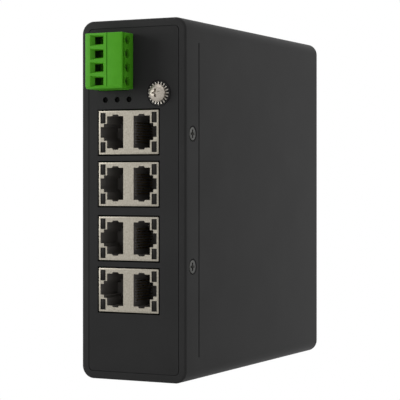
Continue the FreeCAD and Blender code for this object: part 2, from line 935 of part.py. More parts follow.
def plug_contact(z):
    """One contact: a bar through the clamp, and two leaves that grip the header pin."""
    bar_half = contact_bar_thickness / 2
    side = contact_bar_half_width
    z_span = (z - side, z + side)
    inner = pin_width / 2 + contact_leaf_gap
    outer = inner + contact_leaf
    base_back = plug_back + contact_base
    tongue = block((pin_centre_x - bar_half, pin_centre_x + bar_half),
                   (chamber_front + contact_chamber_gap, base_back), z_span)
    base = block((pin_centre_x - outer, pin_centre_x + outer), (plug_back, base_back), z_span)
    leaf_end = front + contact_leaf_end
    low_leaf = block((pin_centre_x - outer, pin_centre_x - inner), (plug_back, leaf_end), z_span)
    high_leaf = block((pin_centre_x + inner, pin_centre_x + outer), (plug_back, leaf_end), z_span)
    return joined([tongue, base, low_leaf, high_leaf])


def clamp_cage(z):
    """Rising cage of one clamp: an open box whose roof is the screw's nut."""
    half = chamber_half_width - cage_clearance
    y_span = (chamber_front + cage_clearance, chamber_rear - cage_clearance)
    solid = block((cage_floor, cage_roof), y_span, (z - half, z + half))
    window = block(
        (cage_floor + cage_floor_wall, cage_roof - cage_nut_wall),
        (y_span[0] - 1, y_span[1] + 1),
        (z - half + cage_side_wall, z + half - cage_side_wall),
    )
    radius = clamp_thread_diameter / 2 + thread_clearance
    nut = rod(radius, (cage_roof - cage_nut_wall - 1, clamp_axis, z), (cage_roof + 1, clamp_axis, z))
    return cut(solid, [window, nut])


def clamp_screw(z):
    """Slotted screw of one clamp, with its head on the ledge below the driver hole."""
    seat = chamber_roof + clamp_ledge
    top = seat + clamp_head_height
    tip = cage_roof - cage_nut_wall - clamp_tip_below_nut
    head = rod(clamp_head_diameter / 2, (seat, clamp_axis, z), (top, clamp_axis, z))
    shank = rod(clamp_thread_diameter / 2, (tip, clamp_axis, z), (seat, clamp_axis, z))
    reach = clamp_head_diameter
    slot = block(
        (top - clamp_slot_depth, top + 1),
        (clamp_axis - clamp_slot_width / 2, clamp_axis + clamp_slot_width / 2),
        (z - reach, z + reach),
    )
    return head.fuse(shank).cut(slot)


# ------------------------------------------------------------------ status lights
def light_block():
    """Black holder of the lamps on the board, against the ends of the light guides."""
    x_span = (board_top, light_places()[-1] + light_block_top)
    guide_end = front + light_recess + light_length
    half = light_block_height / 2
    return block(x_span, (guide_end, guide_end + light_block_depth), (light_row - half, light_row + half))


def status_lenses():
    """Three round light guides, set back a little behind the front."""
    radius = light_hole_diameter / 2 - light_clearance
    start = front + light_recess
    return [
        rod(radius, (x, start, light_row), (x, start + light_length, light_row)) for x in light_places()
    ]


# ------------------------------------------------------------------ parts on the board
def switch_chip():
    """Flat square switch chip on the board."""
    half = chip_size / 2
    y = front + chip_setback
    return block((board_top, board_top + chip_height), (y - half, y + half),
                 (chip_centre_height - half, chip_centre_height + half))


def heat_sink():
    """Finned heat sink on the chip."""
    half = sink_size / 2
    y = front + chip_setback
    base_low = board_top + chip_height
    base_high = base_low + sink_base
    z_span = (chip_centre_height - half, chip_centre_height + half)
    pieces = [block((base_low, base_high), (y - half, y + half), z_span)]
    step = (sink_size - sink_fin_thickness) / (sink_fin_count - 1)
    for index in range(sink_fin_count):
        fin_front = y - half + index * step
        pieces.append(block((base_low, base_high + sink_fin_height),
                            (fin_front, fin_front + sink_fin_thickness), z_span))
    return joined(pieces)


def filter_capacitors():
    """Two upright capacitors behind the terminal header."""
    cans = []
    z = board_high - capacitor_below_top
    for index in range(2):
        y = front + capacitor_setback + index * capacitor_spacing
        cans.append(rod(capacitor_diameter / 2, (board_top, y, z), (board_top + capacitor_height, y, z)))
    return cans


def power_inductor():
    """Square shielded inductor of the power supply."""
    half = inductor_size / 2
    y = front + inductor_setback
    z = board_high - capacitor_below_top
    solid = block((board_top, board_top + inductor_height), (y - half, y + half), (z - half, z + half))
    upright = [edge for edge in solid.Edges if abs(edge.tangentAt(edge.FirstParameter).x) > 0.99]
    return solid.makeChamfer(inductor_size / 5, upright)


def crystal():
    """Oval crystal can below the switch chip."""
    y = front + chip_setback
    z = chip_centre_height - chip_size / 2 - crystal_gap
    solid = block((board_top, board_top + crystal_height), (y - crystal_length / 2, y + crystal_length / 2),
                  (z - crystal_width / 2, z + crystal_width / 2))
    upright = [edge for edge in solid.Edges if abs(edge.tangentAt(edge.FirstParameter).x) > 0.99]
    return solid.makeFillet(crystal_width * 0.45, upright)


def input_diodes():
    """Row of flat diodes that join the two power inputs."""
    diodes = []
    start = front + capacitor_setback - capacitor_diameter / 2
    z = board_high - capacitor_below_top - capacitor_diameter / 2 - diode_gap - diode_width
    for index in range(diode_count):
        y = start + index * (diode_length + diode_gap)
        x_span = (board_top, board_top + diode_height)
        diodes.append(block(x_span, (y, y + diode_length), (z, z + diode_width)))
    return diodes


# ------------------------------------------------------------------ clip for the rail
def din_bracket():
    """Rail clip body: hook over the rail's upper brim, channel and guide lips for the latch."""
    half = clip_width / 2
    solid = block((-half, half), (rear_face, rail_plane), (clip_low, clip_high))
    hook_end = rail_plane + clip_hook_depth
    hook = block((-half, half), (rear_face, hook_end), (rail_top + rail_fit / 2, clip_high))
    brim_back = rail_plane + rail_brim + clip_brim_room
    lip = block((-half, half), (brim_back, hook_end), (rail_top - clip_lip_reach, clip_high))
    solid = joined([solid, hook, lip])
    channel_top = rail_centre + channel_above_centre
    channel_half = channel_width / 2
    channel = block((-channel_half, channel_half), (rear_face + clip_floor, rail_plane + 1),
                    (clip_low - 1, channel_top))
    solid = solid.cut(channel)
    lips = []
    for side in (-1, 1):
        outer = side * (channel_half + 0.5)
        inner = side * (channel_half - guide_lip_width)
        lips.append(block((min(outer, inner), max(outer, inner)),
                          (rail_plane - guide_lip_thickness, rail_plane),
                          (clip_low, rail_centre + guide_lip_above_centre)))
    post = block((-spring_post_width() / 2, spring_post_width() / 2),
                 (rear_face + clip_floor - 0.5, rail_plane - guide_lip_thickness),
                 (spring_post_low(), spring_post_low() + spring_post_height))
    solid = solid.fuse(lips + [post]).removeSplitter()
    tools = []
    for x, z in clip_screw_places():
        tools += rear_screw_hole(x, z, rail_plane)
    return cut(solid, tools)


def spring_post_width():
    """Width of the post that the spring stands on."""
    return spring_window_width - 2 * spring_post_gap


def spring_post_low():
    """Height of the underside of the spring's post."""
    return rail_centre - spring_room_below_centre - spring_length - spring_post_height


def din_latch():
    """Sprung slider: runs in the channel, hooks over the rail's lower brim, pulled down to let go."""
    gap = slider_clearance
    half = channel_width / 2 - gap
    narrow = channel_width / 2 - guide_lip_width - gap
    low = clip_low - slider_tail
    high = rail_centre - slider_top_below_centre
    wide_span = (rear_face + clip_floor + gap, rail_plane - guide_lip_thickness - gap)
    wide = block((-half, half), wide_span, (low, high))
    proud = block((-narrow, narrow), (wide_span[0], rail_plane - gap), (low, high))
    nose_high = rail_bottom - rail_fit / 2
    nose_end = rail_plane + clip_hook_depth
    nose = block((-narrow, narrow), (wide_span[0], nose_end), (nose_high - slider_nose_wall, nose_high))
    brim_back = rail_plane + rail_brim + clip_brim_room
    ramp = clip_lip_reach
    tooth_points = [
        (brim_back, nose_high - 0.5),
        (nose_end, nose_high - 0.5),
        (nose_end, nose_high),
        (brim_back + (nose_end - brim_back) / 2, nose_high + ramp),
        (brim_back, nose_high + ramp),
    ]
    corners = [Vector(-narrow, y, z) for y, z in tooth_points]
    tooth = Part.Face(Part.makePolygon(corners + corners[:1])).extrude(Vector(2 * narrow, 0, 0))
    solid = joined([wide, proud, nose, tooth])
    window_half = spring_window_width / 2
    window_low = spring_post_low() - spring_window_below_nose
    window_high = rail_centre - spring_room_below_centre
    window = block((-window_half, window_half), (rear_face, rail_plane + 1), (window_low, window_high))
    slot_half = pull_slot_width / 2
    slot_low = low + pull_slot_margin
    z_span = (slot_low, slot_low + pull_slot_height)
    slot = block((-slot_half, slot_half), (rear_face, rail_plane + 1), z_span)
    return cut(solid, [window, slot])


def latch_spring():
    """Compression spring between the clip's post and the top of the latch's window."""
    low = spring_post_low() + spring_post_height + spring_end_gap
    length = spring_length - 2 * spring_end_gap
    middle = (rear_face + clip_floor + rail_plane) / 2
    rise = (length - 2 * spring_wire_radius) / (spring_turns * spring_sides)
    corners = []
    for index in range(spring_turns * spring_sides + 1):
        turn = 2 * math.pi * index / spring_sides
        x = spring_coil_radius * math.cos(turn)
        y = middle + spring_coil_radius * math.sin(turn)
        corners.append(Vector(x, y, low + spring_wire_radius + index * rise))
    start, ahead = corners[0], (corners[1] - corners[0]).normalize()
    half = spring_wire_radius
    flat = Vector(0, 0, 1).cross(ahead).normalize() * half
    up = ahead.cross(flat).normalize() * half
    section = [start + flat + up, start - flat + up, start - flat - up, start + flat - up]
    section = Part.makePolygon(section + section[:1])
    return Part.Wire(Part.makePolygon(corners)).makePipeShell([section], True, False, 1)


# ------------------------------------------------------------------ write every node
def main():
    os.makedirs("parts", exist_ok=True)
    nodes = {
        "front_cover": [front_cover()],
        "front_film": [front_film()],
        "body_shell": [body_shell()],
        "rear_plate": [rear_plate()],
        "side_screws": side_screws(),
        "rear_plate_screws": countersunk_screws(lug_places(), rear_face, rear_screw_length),
        "ground_screw": [ground_screw()],
        "toothed_washer": [toothed_washer()],
        "main_board": [main_board()],
        "terminal_header": [terminal_header()],
        "header_pins": header_pins(),
        "terminal_plug": [terminal_plug()],
        "plug_contacts": [plug_contact(z) for z in pole_heights()],
        "light_block": [light_block()],
        "status_lenses": status_lenses(),
        "switch_chip": [switch_chip()],
        "heat_sink": [heat_sink()],
        "filter_capacitors": filter_capacitors(),
        "power_inductor": [power_inductor()],
        "crystal": [crystal()],
        "input_diodes": input_diodes(),
        "din_bracket": [din_bracket()],
        "bracket_screws": countersunk_screws(clip_screw_places(), rail_plane, clip_screw_length),
        "din_latch": [din_latch()],
        "latch_spring": [latch_spring()],
    }
    for number, z in enumerate(jack_heights(), start=1):
        nodes["jack_shield_%d" % number] = [jack_shield(z)]
        nodes["jack_insert_%d" % number] = [jack_insert(z)]
        nodes["jack_windows_%d" % number] = jack_windows(z)
        nodes["jack_contacts_%d" % number] = jack_contacts(z)
    for number, z in enumerate(reversed(pole_heights()), start=1):
        nodes["clamp_cage_%d" % number] = [clamp_cage(z)]
        nodes["clamp_screw_%d" % number] = [clamp_screw(z)]
    for name, solids in nodes.items():
        save(name, solids)


main()
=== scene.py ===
"""Looks of the DIN rail ethernet switch: detailed pieces, finishes, soft studio and camera."""
import sys
import logging
import math
from contextlib import contextmanager
from dataclasses import dataclass
from enum import Enum
from typing import Callable, Iterable, Iterator, Optional, Sequence, Union

import bpy
from mathutils import Matrix, Vector

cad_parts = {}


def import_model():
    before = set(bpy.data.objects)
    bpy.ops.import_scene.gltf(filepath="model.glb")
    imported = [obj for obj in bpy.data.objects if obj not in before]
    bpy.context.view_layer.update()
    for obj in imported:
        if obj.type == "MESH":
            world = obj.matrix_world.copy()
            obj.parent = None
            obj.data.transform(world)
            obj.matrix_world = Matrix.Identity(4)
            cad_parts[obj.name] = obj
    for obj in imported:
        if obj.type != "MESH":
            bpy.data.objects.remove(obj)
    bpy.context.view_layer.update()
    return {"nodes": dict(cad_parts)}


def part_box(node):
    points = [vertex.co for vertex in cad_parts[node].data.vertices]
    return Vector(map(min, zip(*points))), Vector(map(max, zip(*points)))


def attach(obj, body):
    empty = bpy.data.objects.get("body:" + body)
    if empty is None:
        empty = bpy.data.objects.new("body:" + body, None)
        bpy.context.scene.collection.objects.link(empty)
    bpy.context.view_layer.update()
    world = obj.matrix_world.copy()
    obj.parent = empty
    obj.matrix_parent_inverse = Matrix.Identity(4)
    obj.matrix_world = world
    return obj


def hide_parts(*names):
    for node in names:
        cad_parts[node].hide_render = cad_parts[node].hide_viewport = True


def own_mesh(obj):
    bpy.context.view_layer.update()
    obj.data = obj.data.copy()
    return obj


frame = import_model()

LOG = logging.getLogger("switch")
METRE = 1000.0
# Two places nearer than this are one, in millimetres.
TOUCH = 1e-3
# How far a cutter runs past a face, or an addition runs into one, in millimetres.
PAST = 1.0
# Edges flatter than SMOOTH are shaded smooth, and edges sharper than SHARP are broken, in degrees.
SMOOTH, SHARP = 32.0, 40.0

Object = bpy.types.Object
Material = bpy.types.Material
NodeTree = bpy.types.NodeTree
Node = bpy.types.Node
Socket = bpy.types.NodeSocket
Point = Sequence[float]
Span = tuple[float, float]
Triple = tuple[float, float, float]
Test = Callable[[Vector, Vector], bool]


# ------------------------------------------------------------------ bench: sizes in millimetres
class Plane(Enum):
    """Plane of an outline: its two axes, then the axis across it."""

    XZ = (0, 2, 1)
    XY = (0, 1, 2)


class Way(Enum):
    """What a tool does to a piece."""

    CUT = "DIFFERENCE"
    ADD = "UNION"
    TRIM = "INTERSECT"


def cad(node: str) -> tuple[Vector, Vector]:
    """Lowest and highest corner of a CAD node, in millimetres."""
    low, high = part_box(node)
    return low * METRE, high * METRE


def deselect() -> None:
    """Deselect every object."""
    bpy.ops.object.select_all(action="DESELECT")


def discard(obj: Object) -> None:
    """Remove a piece that has served."""
    bpy.data.objects.remove(obj, do_unlink=True)


def named(name: str) -> Object:
    """Name the piece that was just added, and its mesh."""
    obj = bpy.context.active_object
    obj.name = obj.data.name = name
    return obj


def take(obj: Object) -> Object:
    """Make one object the only selected and the active one.

    Args:
        obj: the object to take.

    Returns:
        The same object.
    """
    deselect()
    obj.select_set(True)
    bpy.context.view_layer.objects.active = obj
    return obj


def settle(obj: Object) -> Object:
    """Move an object's place, turn and size into its mesh.

    Args:
        obj: the object to settle.

    Returns:
        The same object, at the origin.
    """
    take(obj)
    bpy.ops.object.transform_apply(location=True, rotation=True, scale=True)
    return obj


@contextmanager
def editing() -> Iterator[None]:
    """Stay in edit mode for a while, on the active object."""
    bpy.ops.object.mode_set(mode="EDIT")
    yield
    bpy.ops.object.mode_set(mode="OBJECT")


def add_block(name: str, corner: Point, opposite: Point) -> Object:
    """Straight block between two opposite corners.

    Args:
        name: name of the piece.
        corner: one corner.
        opposite: the corner opposite to it.

    Returns:
        The block.
    """
    a, b = (Vector([pick(pair) for pair in zip(corner, opposite)]) / METRE for pick in (min, max))
    deselect()
    bpy.ops.mesh.primitive_cube_add(size=1.0, location=(a + b) / 2, scale=b - a)
    return settle(named(name))


def add_taper(name: str, first: float, second: float, start: Point, end: Point,
              sides: int = 48) -> Object:
    """Round taper between two points.

    Args:
        name: name of the piece.
        first: radius at the start.
        second: radius at the end.
        start: middle of the first end.
        end: middle of the second end.
        sides: faces round it.

    Returns:
        The taper.
    """
    a, b = Vector(start) / METRE, Vector(end) / METRE
    turn = (b - a).to_track_quat("Z", "Y").to_euler()
    deselect()
    bpy.ops.mesh.primitive_cone_add(
        vertices=sides, radius1=first / METRE, radius2=second / METRE, depth=(b - a).length,
        location=(a + b) / 2, rotation=turn)
    return settle(named(name))


def add_rod(name: str, radius: float, start: Point, end: Point, sides: int = 48) -> Object:
    """Round rod between two points."""
    return add_taper(name, radius, radius, start, end, sides)


def rod_y(name: str, radius: float, at: Span, span: Span, sides: int = 48) -> Object:
    """Round rod along Y, at one X and Z."""
    return add_rod(name, radius, (at[0], span[0], at[1]), (at[0], span[1], at[1]), sides)


def add_prism(name: str, outline: Sequence[Span], plane: Plane, start: float,
              end: float) -> Object:
    """Flat outline drawn out along the axis across its plane.

    Args:
        name: name of the piece.
        outline: corners in the plane.
        plane: the plane it lies in.
        start: where it begins along its axis.
        end: where it ends along its axis.

    Returns:
        The prism.
    """
    u, v, across = plane.value
    deselect()
    bpy.ops.mesh.primitive_circle_add(vertices=len(outline), radius=1.0, fill_type="NGON")
    obj = named(name)
    for vertex, corner in zip(obj.data.vertices, outline):
        vertex.co[u], vertex.co[v] = corner[0] / METRE, corner[1] / METRE
        vertex.co[across] = start / METRE
    move = Vector()
    move[across] = (end - start) / METRE
    with editing():
        bpy.ops.mesh.select_all(action="SELECT")
        bpy.ops.mesh.extrude_region_move(TRANSFORM_OT_translate={"value": move})
        bpy.ops.mesh.select_all(action="SELECT")
        bpy.ops.mesh.normals_make_consistent(inside=False)
    return obj


def before(axis: str, limit: float) -> Test:
    """Test for edges that lie wholly at or before a place on an axis."""
    return lambda a, b: max(getattr(a, axis), getattr(b, axis)) < limit + TOUCH


def beyond(axis: str, limit: float) -> Test:
    """Test for edges that lie wholly at or beyond a place on an axis."""
    return lambda a, b: min(getattr(a, axis), getattr(b, axis)) > limit - TOUCH


def along(axis: str, least: float = TOUCH) -> Test:
    """Test for edges that run along an axis for more than a length."""
    return lambda a, b: abs(getattr(a, axis) - getattr(b, axis)) > least


def pick(obj: Object, faces: bool, test: Test) -> bool:
    """Select the edges or the faces of a mesh that pass a test.

    Args:
        obj: the piece.
        faces: whether faces are picked, and not edges.
        test: says yes or no, from an edge's two ends or from a face's middle and normal.

    Returns:
        Whether any was selected.
    """
    take(obj)
    mesh = obj.data
    bpy.context.tool_settings.mesh_select_mode = (False, not faces, faces)
    for item in (*mesh.vertices, *mesh.edges, *mesh.polygons):
        item.select = False
    found = False
    for item in mesh.polygons if faces else mesh.edges:
        if faces:
            pair = (item.center * METRE, item.normal)
        else:
            pair = [mesh.vertices[index].co * METRE for index in item.vertices]
        item.select = bool(test(*pair))
        found = found or item.select
    return found


def bevel(obj: Object, test: Test, width: float, segments: int) -> Object:
    """Round the edges that pass a test.

    Args:
        obj: the piece.
        test: says yes or no to an edge.
        width: radius of the rounding.
        segments: faces across it.

    Returns:
        The same piece.
    """
    if pick(obj, False, test):
        with editing():
            bpy.ops.mesh.bevel(offset=width / METRE, segments=segments, affect="EDGES",
                               profile=0.5)
    return obj


def narrow(obj: Object, facing: Triple, factor: Triple) -> Object:
    """Shrink the faces that face one way about their own middle, which gives a taper.

    Args:
        obj: the piece.
        facing: direction of those faces.
        factor: how much is kept along each axis.

    Returns:
        The same piece.
    """
    if pick(obj, True, lambda middle, normal: normal.dot(facing) > 0.9):
        mesh = obj.data
        corners = {index for face in mesh.polygons if face.select for index in face.vertices}
        middle = sum((mesh.vertices[index].co for index in corners), Vector()) / len(corners)
        with editing():
            bpy.ops.transform.resize(value=factor, center_override=middle)
    return obj


def soften(obj: Object, width: float, segments: int) -> Object:
    """Break every sharp edge with a small bevel.

    Args:
        obj: the piece.
        width: width of the bevel.
        segments: faces across it.

    Returns:
        The same piece.
    """
    take(obj)
    modifier = obj.modifiers.new("edges", "BEVEL")
    modifier.width = width / METRE
    modifier.segments = segments
    modifier.limit_method = "ANGLE"
    modifier.angle_limit = math.radians(SHARP)
    bpy.ops.object.modifier_apply(modifier=modifier.name)
    return obj


def combine(obj: Object, others: Iterable[Object], way: Way) -> Object:
    """Cut, grow or trim a piece with others, and use them up.

    Args:
        obj: the piece.
        others: the tools.
        way: what they do to it.

    Returns:
        The same piece.
    """
    for other in others:
        take(obj)
        modifier = obj.modifiers.new("shape", "BOOLEAN")
        modifier.operation = way.value
        modifier.solver = "EXACT"
        modifier.object = other
        bpy.ops.object.modifier_apply(modifier=modifier.name)
        discard(other)
    return obj


def carve(obj: Object, *tools: Object) -> Object:
    """Cut every tool from a piece."""
    return combine(obj, tools, Way.CUT)


def grow(obj: Object, *additions: Object) -> Object:
    """Add every other piece to a piece."""
    return combine(obj, additions, Way.ADD)


def copy_of(obj: Object, name: str, place: Optional[Matrix] = None) -> Object:
    """Copy a piece with its own mesh.

    Args:
        obj: the piece.
        name: name of the copy.
        place: shift and turn of the copy.

    Returns:
        The copy.
    """
    mesh = obj.data.copy()
    mesh.name = name
    copy = bpy.data.objects.new(name, mesh)
    bpy.context.scene.collection.objects.link(copy)
    if place is not None:
        copy.matrix_world = place
    return settle(copy)


def merged(node: str, name: str) -> Object:
    """Copy a CAD node's solid with its triangles merged into whole faces.

    Args:
        node: the CAD node.
        name: name of the copy.

    Returns:
        The copy.
    """
    obj = copy_of(frame["nodes"][node], name)
    with editing():
        bpy.ops.mesh.select_all(action="SELECT")
        bpy.ops.mesh.remove_doubles(threshold=2e-6)
        bpy.ops.mesh.dissolve_limited(angle_limit=math.radians(1.0))
        bpy.ops.mesh.normals_make_consistent(inside=False)
    return obj


def joined(pieces: Sequence[Object], name: str) -> Object:
    """Join separate shells into one piece.

    Args:
        pieces: the shells.
        name: name of the whole.

    Returns:
        The piece.
    """
    take(pieces[0])
    for piece in pieces[1:]:
        piece.select_set(True)
    bpy.ops.object.join()
    return named(name)


def rounded_block(name: str, low: Point, high: Point, radius: float, segments: int = 12,
                  front_round: float = 0.0, rear_round: float = 0.0) -> Object:
    """Block with its four edges along Y rounded, and its ends too if asked.

    Args:
        name: name of the piece.
        low: lowest corner.
        high: highest corner.
        radius: radius of the long edges.
        segments: faces round each long edge.
        front_round: radius of the edges at its front end.
        rear_round: radius of the edges at its rear end.

    Returns:
        The block.
    """
    obj = bevel(add_block(name, low, high), along("y"), radius, segments)
    if front_round:
        bevel(obj, before("y", low[1]), front_round, 6)
    if rear_round:
        bevel(obj, beyond("y", high[1]), rear_round, 4)
    return obj


def inset_block(name: str, low: Vector, high: Vector, inset: float, y_span: Span,
                radius: float) -> Object:
    """Rounded block along Y that follows an outline, drawn in by an inset on all four sides."""
    return rounded_block(name, (low.x + inset, y_span[0], low.z + inset),
                         (high.x - inset, y_span[1], high.z - inset), radius)


def finish(obj: Object, look: "Look", node: str, body: str = "case") -> Object:
    """Give a piece its finish and its body, and hide the CAD node that it stands for.

    Args:
        obj: the piece.
        look: its finish.
        node: the CAD node it replaces.
        body: the body it rides on.

    Returns:
        The same piece.
    """
    take(obj)
    obj.data.materials.clear()
    obj.data.materials.append(look.material())
    for face in obj.data.polygons:
        face.material_index = 0
    bpy.ops.object.shade_smooth_by_angle(angle=math.radians(SMOOTH))
    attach(obj, body)
    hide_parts(node)
    LOG.info("%s: %d faces, on %s", obj.name, len(obj.data.polygons), body)
    return obj


# ------------------------------------------------------------------ finishes
# Values between which a noise node's cloud mostly lies.
CLOUD = (0.3, 0.7)


def linear(code: str) -> tuple[float, float, float, float]:
    """Linear colour, with alpha, of a six-digit sRGB code."""
    values = [int(code[place:place + 2], 16) / 255 for place in (0, 2, 4)]
    return (*(v / 12.92 if v <= 0.04045 else ((v + 0.055) / 1.055) ** 2.4 for v in values), 1.0)


def feed(tree: NodeTree, node: Node, inputs: dict) -> None:
    """Set or link a shader node's inputs.

    Args:
        tree: the node tree.
        node: the node.
        inputs: values or sockets, by the input's name or place.
    """
    for key, value in inputs.items():
        if isinstance(value, Socket):
            tree.links.new(value, node.inputs[key])
        else:
            node.inputs[key].default_value = value


def add_node(tree: NodeTree, kind: str, inputs: Optional[dict] = None, **settings: object) -> Node:
    """Add one shader node.

    Args:
        tree: the node tree.
        kind: type of the node, without its prefix.
        inputs: values or sockets for its inputs.
        settings: its other properties.

    Returns:
        The node.
    """
    node = tree.nodes.new("ShaderNode" + kind)
    for key, value in settings.items():
        setattr(node, key, value)
    feed(tree, node, inputs or {})
    return node


def blank(owner: Union[bpy.types.World, Material]) -> NodeTree:
    """Empty node tree of a world or a material.

    Args:
        owner: the world or the material.

    Returns:
        Its tree.
    """
    owner.use_nodes = True
    owner.node_tree.nodes.clear()
    return owner.node_tree


def new_material(name: str) -> tuple[Material, NodeTree, Node, Socket]:
    """Start a material.

    Args:
        name: its name.

    Returns:
        The material, its tree, its shader and the object coordinates.
    """
    material = bpy.data.materials.new(name)
    tree = blank(material)
    shader = add_node(tree, "BsdfPrincipled")
    add_node(tree, "OutputMaterial", {"Surface": shader.outputs[0]})
    return material, tree, shader, add_node(tree, "TexCoord").outputs["Object"]


def mottled(tree: NodeTree, place: Socket, coat: Union["Coat", "Plating"],
            detail: float) -> tuple[Socket, Socket]:
    """Cloud that runs between the two tones of a finish.

    Args:
        tree: the node tree.
        place: the object coordinates.
        coat: the finish, with its tones, its cloud's size and its stretch.
        detail: finer layers in the cloud.

    Returns:
        The cloud's value and its colour.
    """
    stretched = add_node(tree, "Mapping", {"Vector": place, "Scale": coat.streak}).outputs[0]
    cloud = add_node(tree, "TexNoise", {"Vector": stretched, "Scale": METRE / coat.mottle,
                                        "Detail": detail}).outputs["Fac"]
    ramp = add_node(tree, "ValToRGB", {"Fac": cloud})
    for stop, at, tone in zip(ramp.color_ramp.elements, CLOUD, (coat.dark, coat.light)):
        stop.position, stop.color = at, linear(tone)
    return cloud, ramp.outputs["Color"]


@dataclass(frozen=True)
class Coat:
    """Powder coat, film or moulded plastic: a mottled colour with a fine grain."""

    name: str
    dark: str
    light: str
    roughness: float = 0.5
    specular: float = 0.3
    mottle: float = 9.0
    grain: float = 0.35
    depth: float = 0.006
    streak: Triple = (1.0, 1.0, 1.0)

    def build(self) -> Material:
        """Make the material."""
        material, tree, shader, place = new_material(self.name)
        colour = mottled(tree, place, self, 4.0)[1]
        peel = add_node(tree, "TexNoise", {"Vector": place, "Scale": METRE / self.grain,
                                           "Detail": 2.0})
        bump = add_node(tree, "Bump", {"Height": peel.outputs["Fac"], "Strength": 0.6,
                                       "Distance": self.depth / METRE})
        feed(tree, shader, {"Base Color": colour, "Roughness": self.roughness,
                            "Specular IOR Level": self.specular,
                            "Normal": bump.outputs["Normal"]})
        return material


@dataclass(frozen=True)
class Plating:
    """Plated or drawn metal: a coloured reflection, uneven gloss and fine rolling marks."""

    name: str
    dark: str
    light: str
    roughness: Span = (0.3, 0.42)
    mottle: float = 1.2
    streak: Triple = (1.0, 1.0, 1.0)
    depth: float = 0.003

    def build(self) -> Material:
        """Make the material."""
        material, tree, shader, place = new_material(self.name)
        cloud, colour = mottled(tree, place, self, 5.0)
        gloss = add_node(tree, "MapRange", {
            "Value": cloud, "From Min": CLOUD[0], "From Max": CLOUD[1],
            "To Min": self.roughness[0], "To Max": self.roughness[1]})
        bump = add_node(tree, "Bump", {"Height": cloud, "Strength": 0.4,
                                       "Distance": self.depth / METRE})
        feed(tree, shader, {"Base Color": colour, "Metallic": 1.0,
                            "Roughness": gloss.outputs[0], "Normal": bump.outputs["Normal"]})
        return material


@dataclass(frozen=True)
class BoardMask:
    """Solder mask over copper tracks: thin lighter lines on a green ground."""

    name: str
    ground: str
    track: str
    pitch: float = 1.27
    depth: float = 0.03

    def build(self) -> Material:
        """Make the material."""
        material, tree, shader, place = new_material(self.name)
        cells = add_node(tree, "TexVoronoi", {"Vector": place, "Scale": METRE / (self.pitch * 3)},
                         feature="DISTANCE_TO_EDGE")
        mask = add_node(tree, "MapRange", {
            "Value": cells.outputs["Distance"], "From Min": 0.03, "From Max": 0.06,
            "To Min": 1.0, "To Max": 0.0}).outputs[0]
        blend = add_node(tree, "Mix", data_type="RGBA")
        feed(tree, blend, {0: mask, 6: linear(self.ground), 7: linear(self.track)})
        bump = add_node(tree, "Bump", {"Height": mask, "Strength": 0.5,
                                       "Distance": self.depth / METRE})
        feed(tree, shader, {"Base Color": blend.outputs[2], "Roughness": 0.3,
                            "Normal": bump.outputs["Normal"]})
        return material


class Look(Enum):
    """Every finish of the switch."""

    # Matt black powder coat on the cast cover and the extruded body.
    CASE = Coat("case_powder_coat", "2b2b2b", "2f2f2f", 0.55, 0.05, 22.0, 0.45, 0.01)
    # Matt printed film of the front.
    FILM = Coat("front_film", "292929", "2c2c2c", 0.6, 0.05, 18.0, 0.25, 0.004)
    # Black glass-filled plastic of the jack inserts, lifted to mid grey as painted light inside the
    # ports.
    INSERT = Coat("insert_plastic_painted_light", "676461", "6e6b68", 0.5, 0.3, 3.0, 0.2, 0.006)
    # Smoked, unlit light guide.
    GUIDE = Coat("light_guide", "0d0c0a", "14120f", 0.4, 0.12, 1.5, 0.3, 0.002)
    # Clear round guides over unlit lights, painted near black as painted shade in the light holes,
    # with hardly a shine behind the film.
    LENS = Coat("lens_painted_shade", "070707", "0a0a09", 0.6, 0.02, 1.5, 0.3, 0.002)
    # Green polyamide of the plug and its header.
    GREEN = Coat("green_polyamide", "449218", "4a971f", 0.45, 0.12, 4.0, 0.22, 0.008)
    # Black epoxy of the chips and diodes.
    EPOXY = Coat("chip_epoxy", "151515", "1a1a1a", 0.5, 0.3, 2.0, 0.12, 0.004)
    # Satin nickel on the shields' rolled sheet.
    SHIELD = Plating("shield_nickel", "837e73", "9c978c", (0.34, 0.5), 0.45, (1.0, 1.0, 0.7), 0.006)
    # Bright nickel of the ground screw.
    NICKEL = Plating("bright_nickel", "968f85", "bbb4aa", (0.42, 0.56), 0.7)
    # Nickel of the lock washer, a brighter copy of the screw's: painted light on the teeth that the
    # head shades.
    TOOTH_NICKEL = Plating("washer_nickel_painted_light", "beb8af", "d6d2ca", (0.56, 0.7), 0.6)
    # Black zinc on the cover's and the rear plate's screws.
    BLACK_ZINC = Plating("black_zinc", "3b3b39", "4b4b49", (0.34, 0.46), 0.8)
    # Bright zinc on the rail clip.
    ZINC = Plating("bright_zinc", "a2a6a8", "b9bcbd", (0.3, 0.44), 2.4, (1.0, 1.0, 0.3), 0.005)
    # Oiled dark zinc on the clamp screws.
    CLAMP_STEEL = Plating("clamp_steel", "45463f", "5b5c55", (0.4, 0.5), 0.5)
    # Tinned copper alloy of pins, cages and contacts.
    TIN = Plating("tin_plate", "7f7e7a", "92918d", (0.35, 0.45), 0.6)
    # Gold flash on the jacks' contacts, painted darker and greyer as painted shade deep in the
    # ports.
    GOLD = Plating("gold_flash_painted_shade", "75664a", "8b7a58", (0.25, 0.35), 0.6)
    # Hard drawn spring wire.
    SPRING = Plating("spring_wire", "7c7e80", "919394", (0.25, 0.35), 0.4)
    # Black anodised heat sink.
    SINK = Plating("black_anodised", "232323", "2c2c2c", (0.4, 0.5), 1.0, (1.0, 1.0, 0.1))
    # Drawn aluminium cans.
    CAN = Plating("drawn_can", "a9abac", "bcbdbe", (0.25, 0.35), 1.0, (1.0, 0.2, 1.0))
    # Green solder mask over copper.
    BOARD = BoardMask("solder_mask", "0f4a2a", "1c6a3c")

    def material(self) -> Material:
        """The finish's material, made once."""
        return bpy.data.materials.get(self.value.name) or self.value.build()


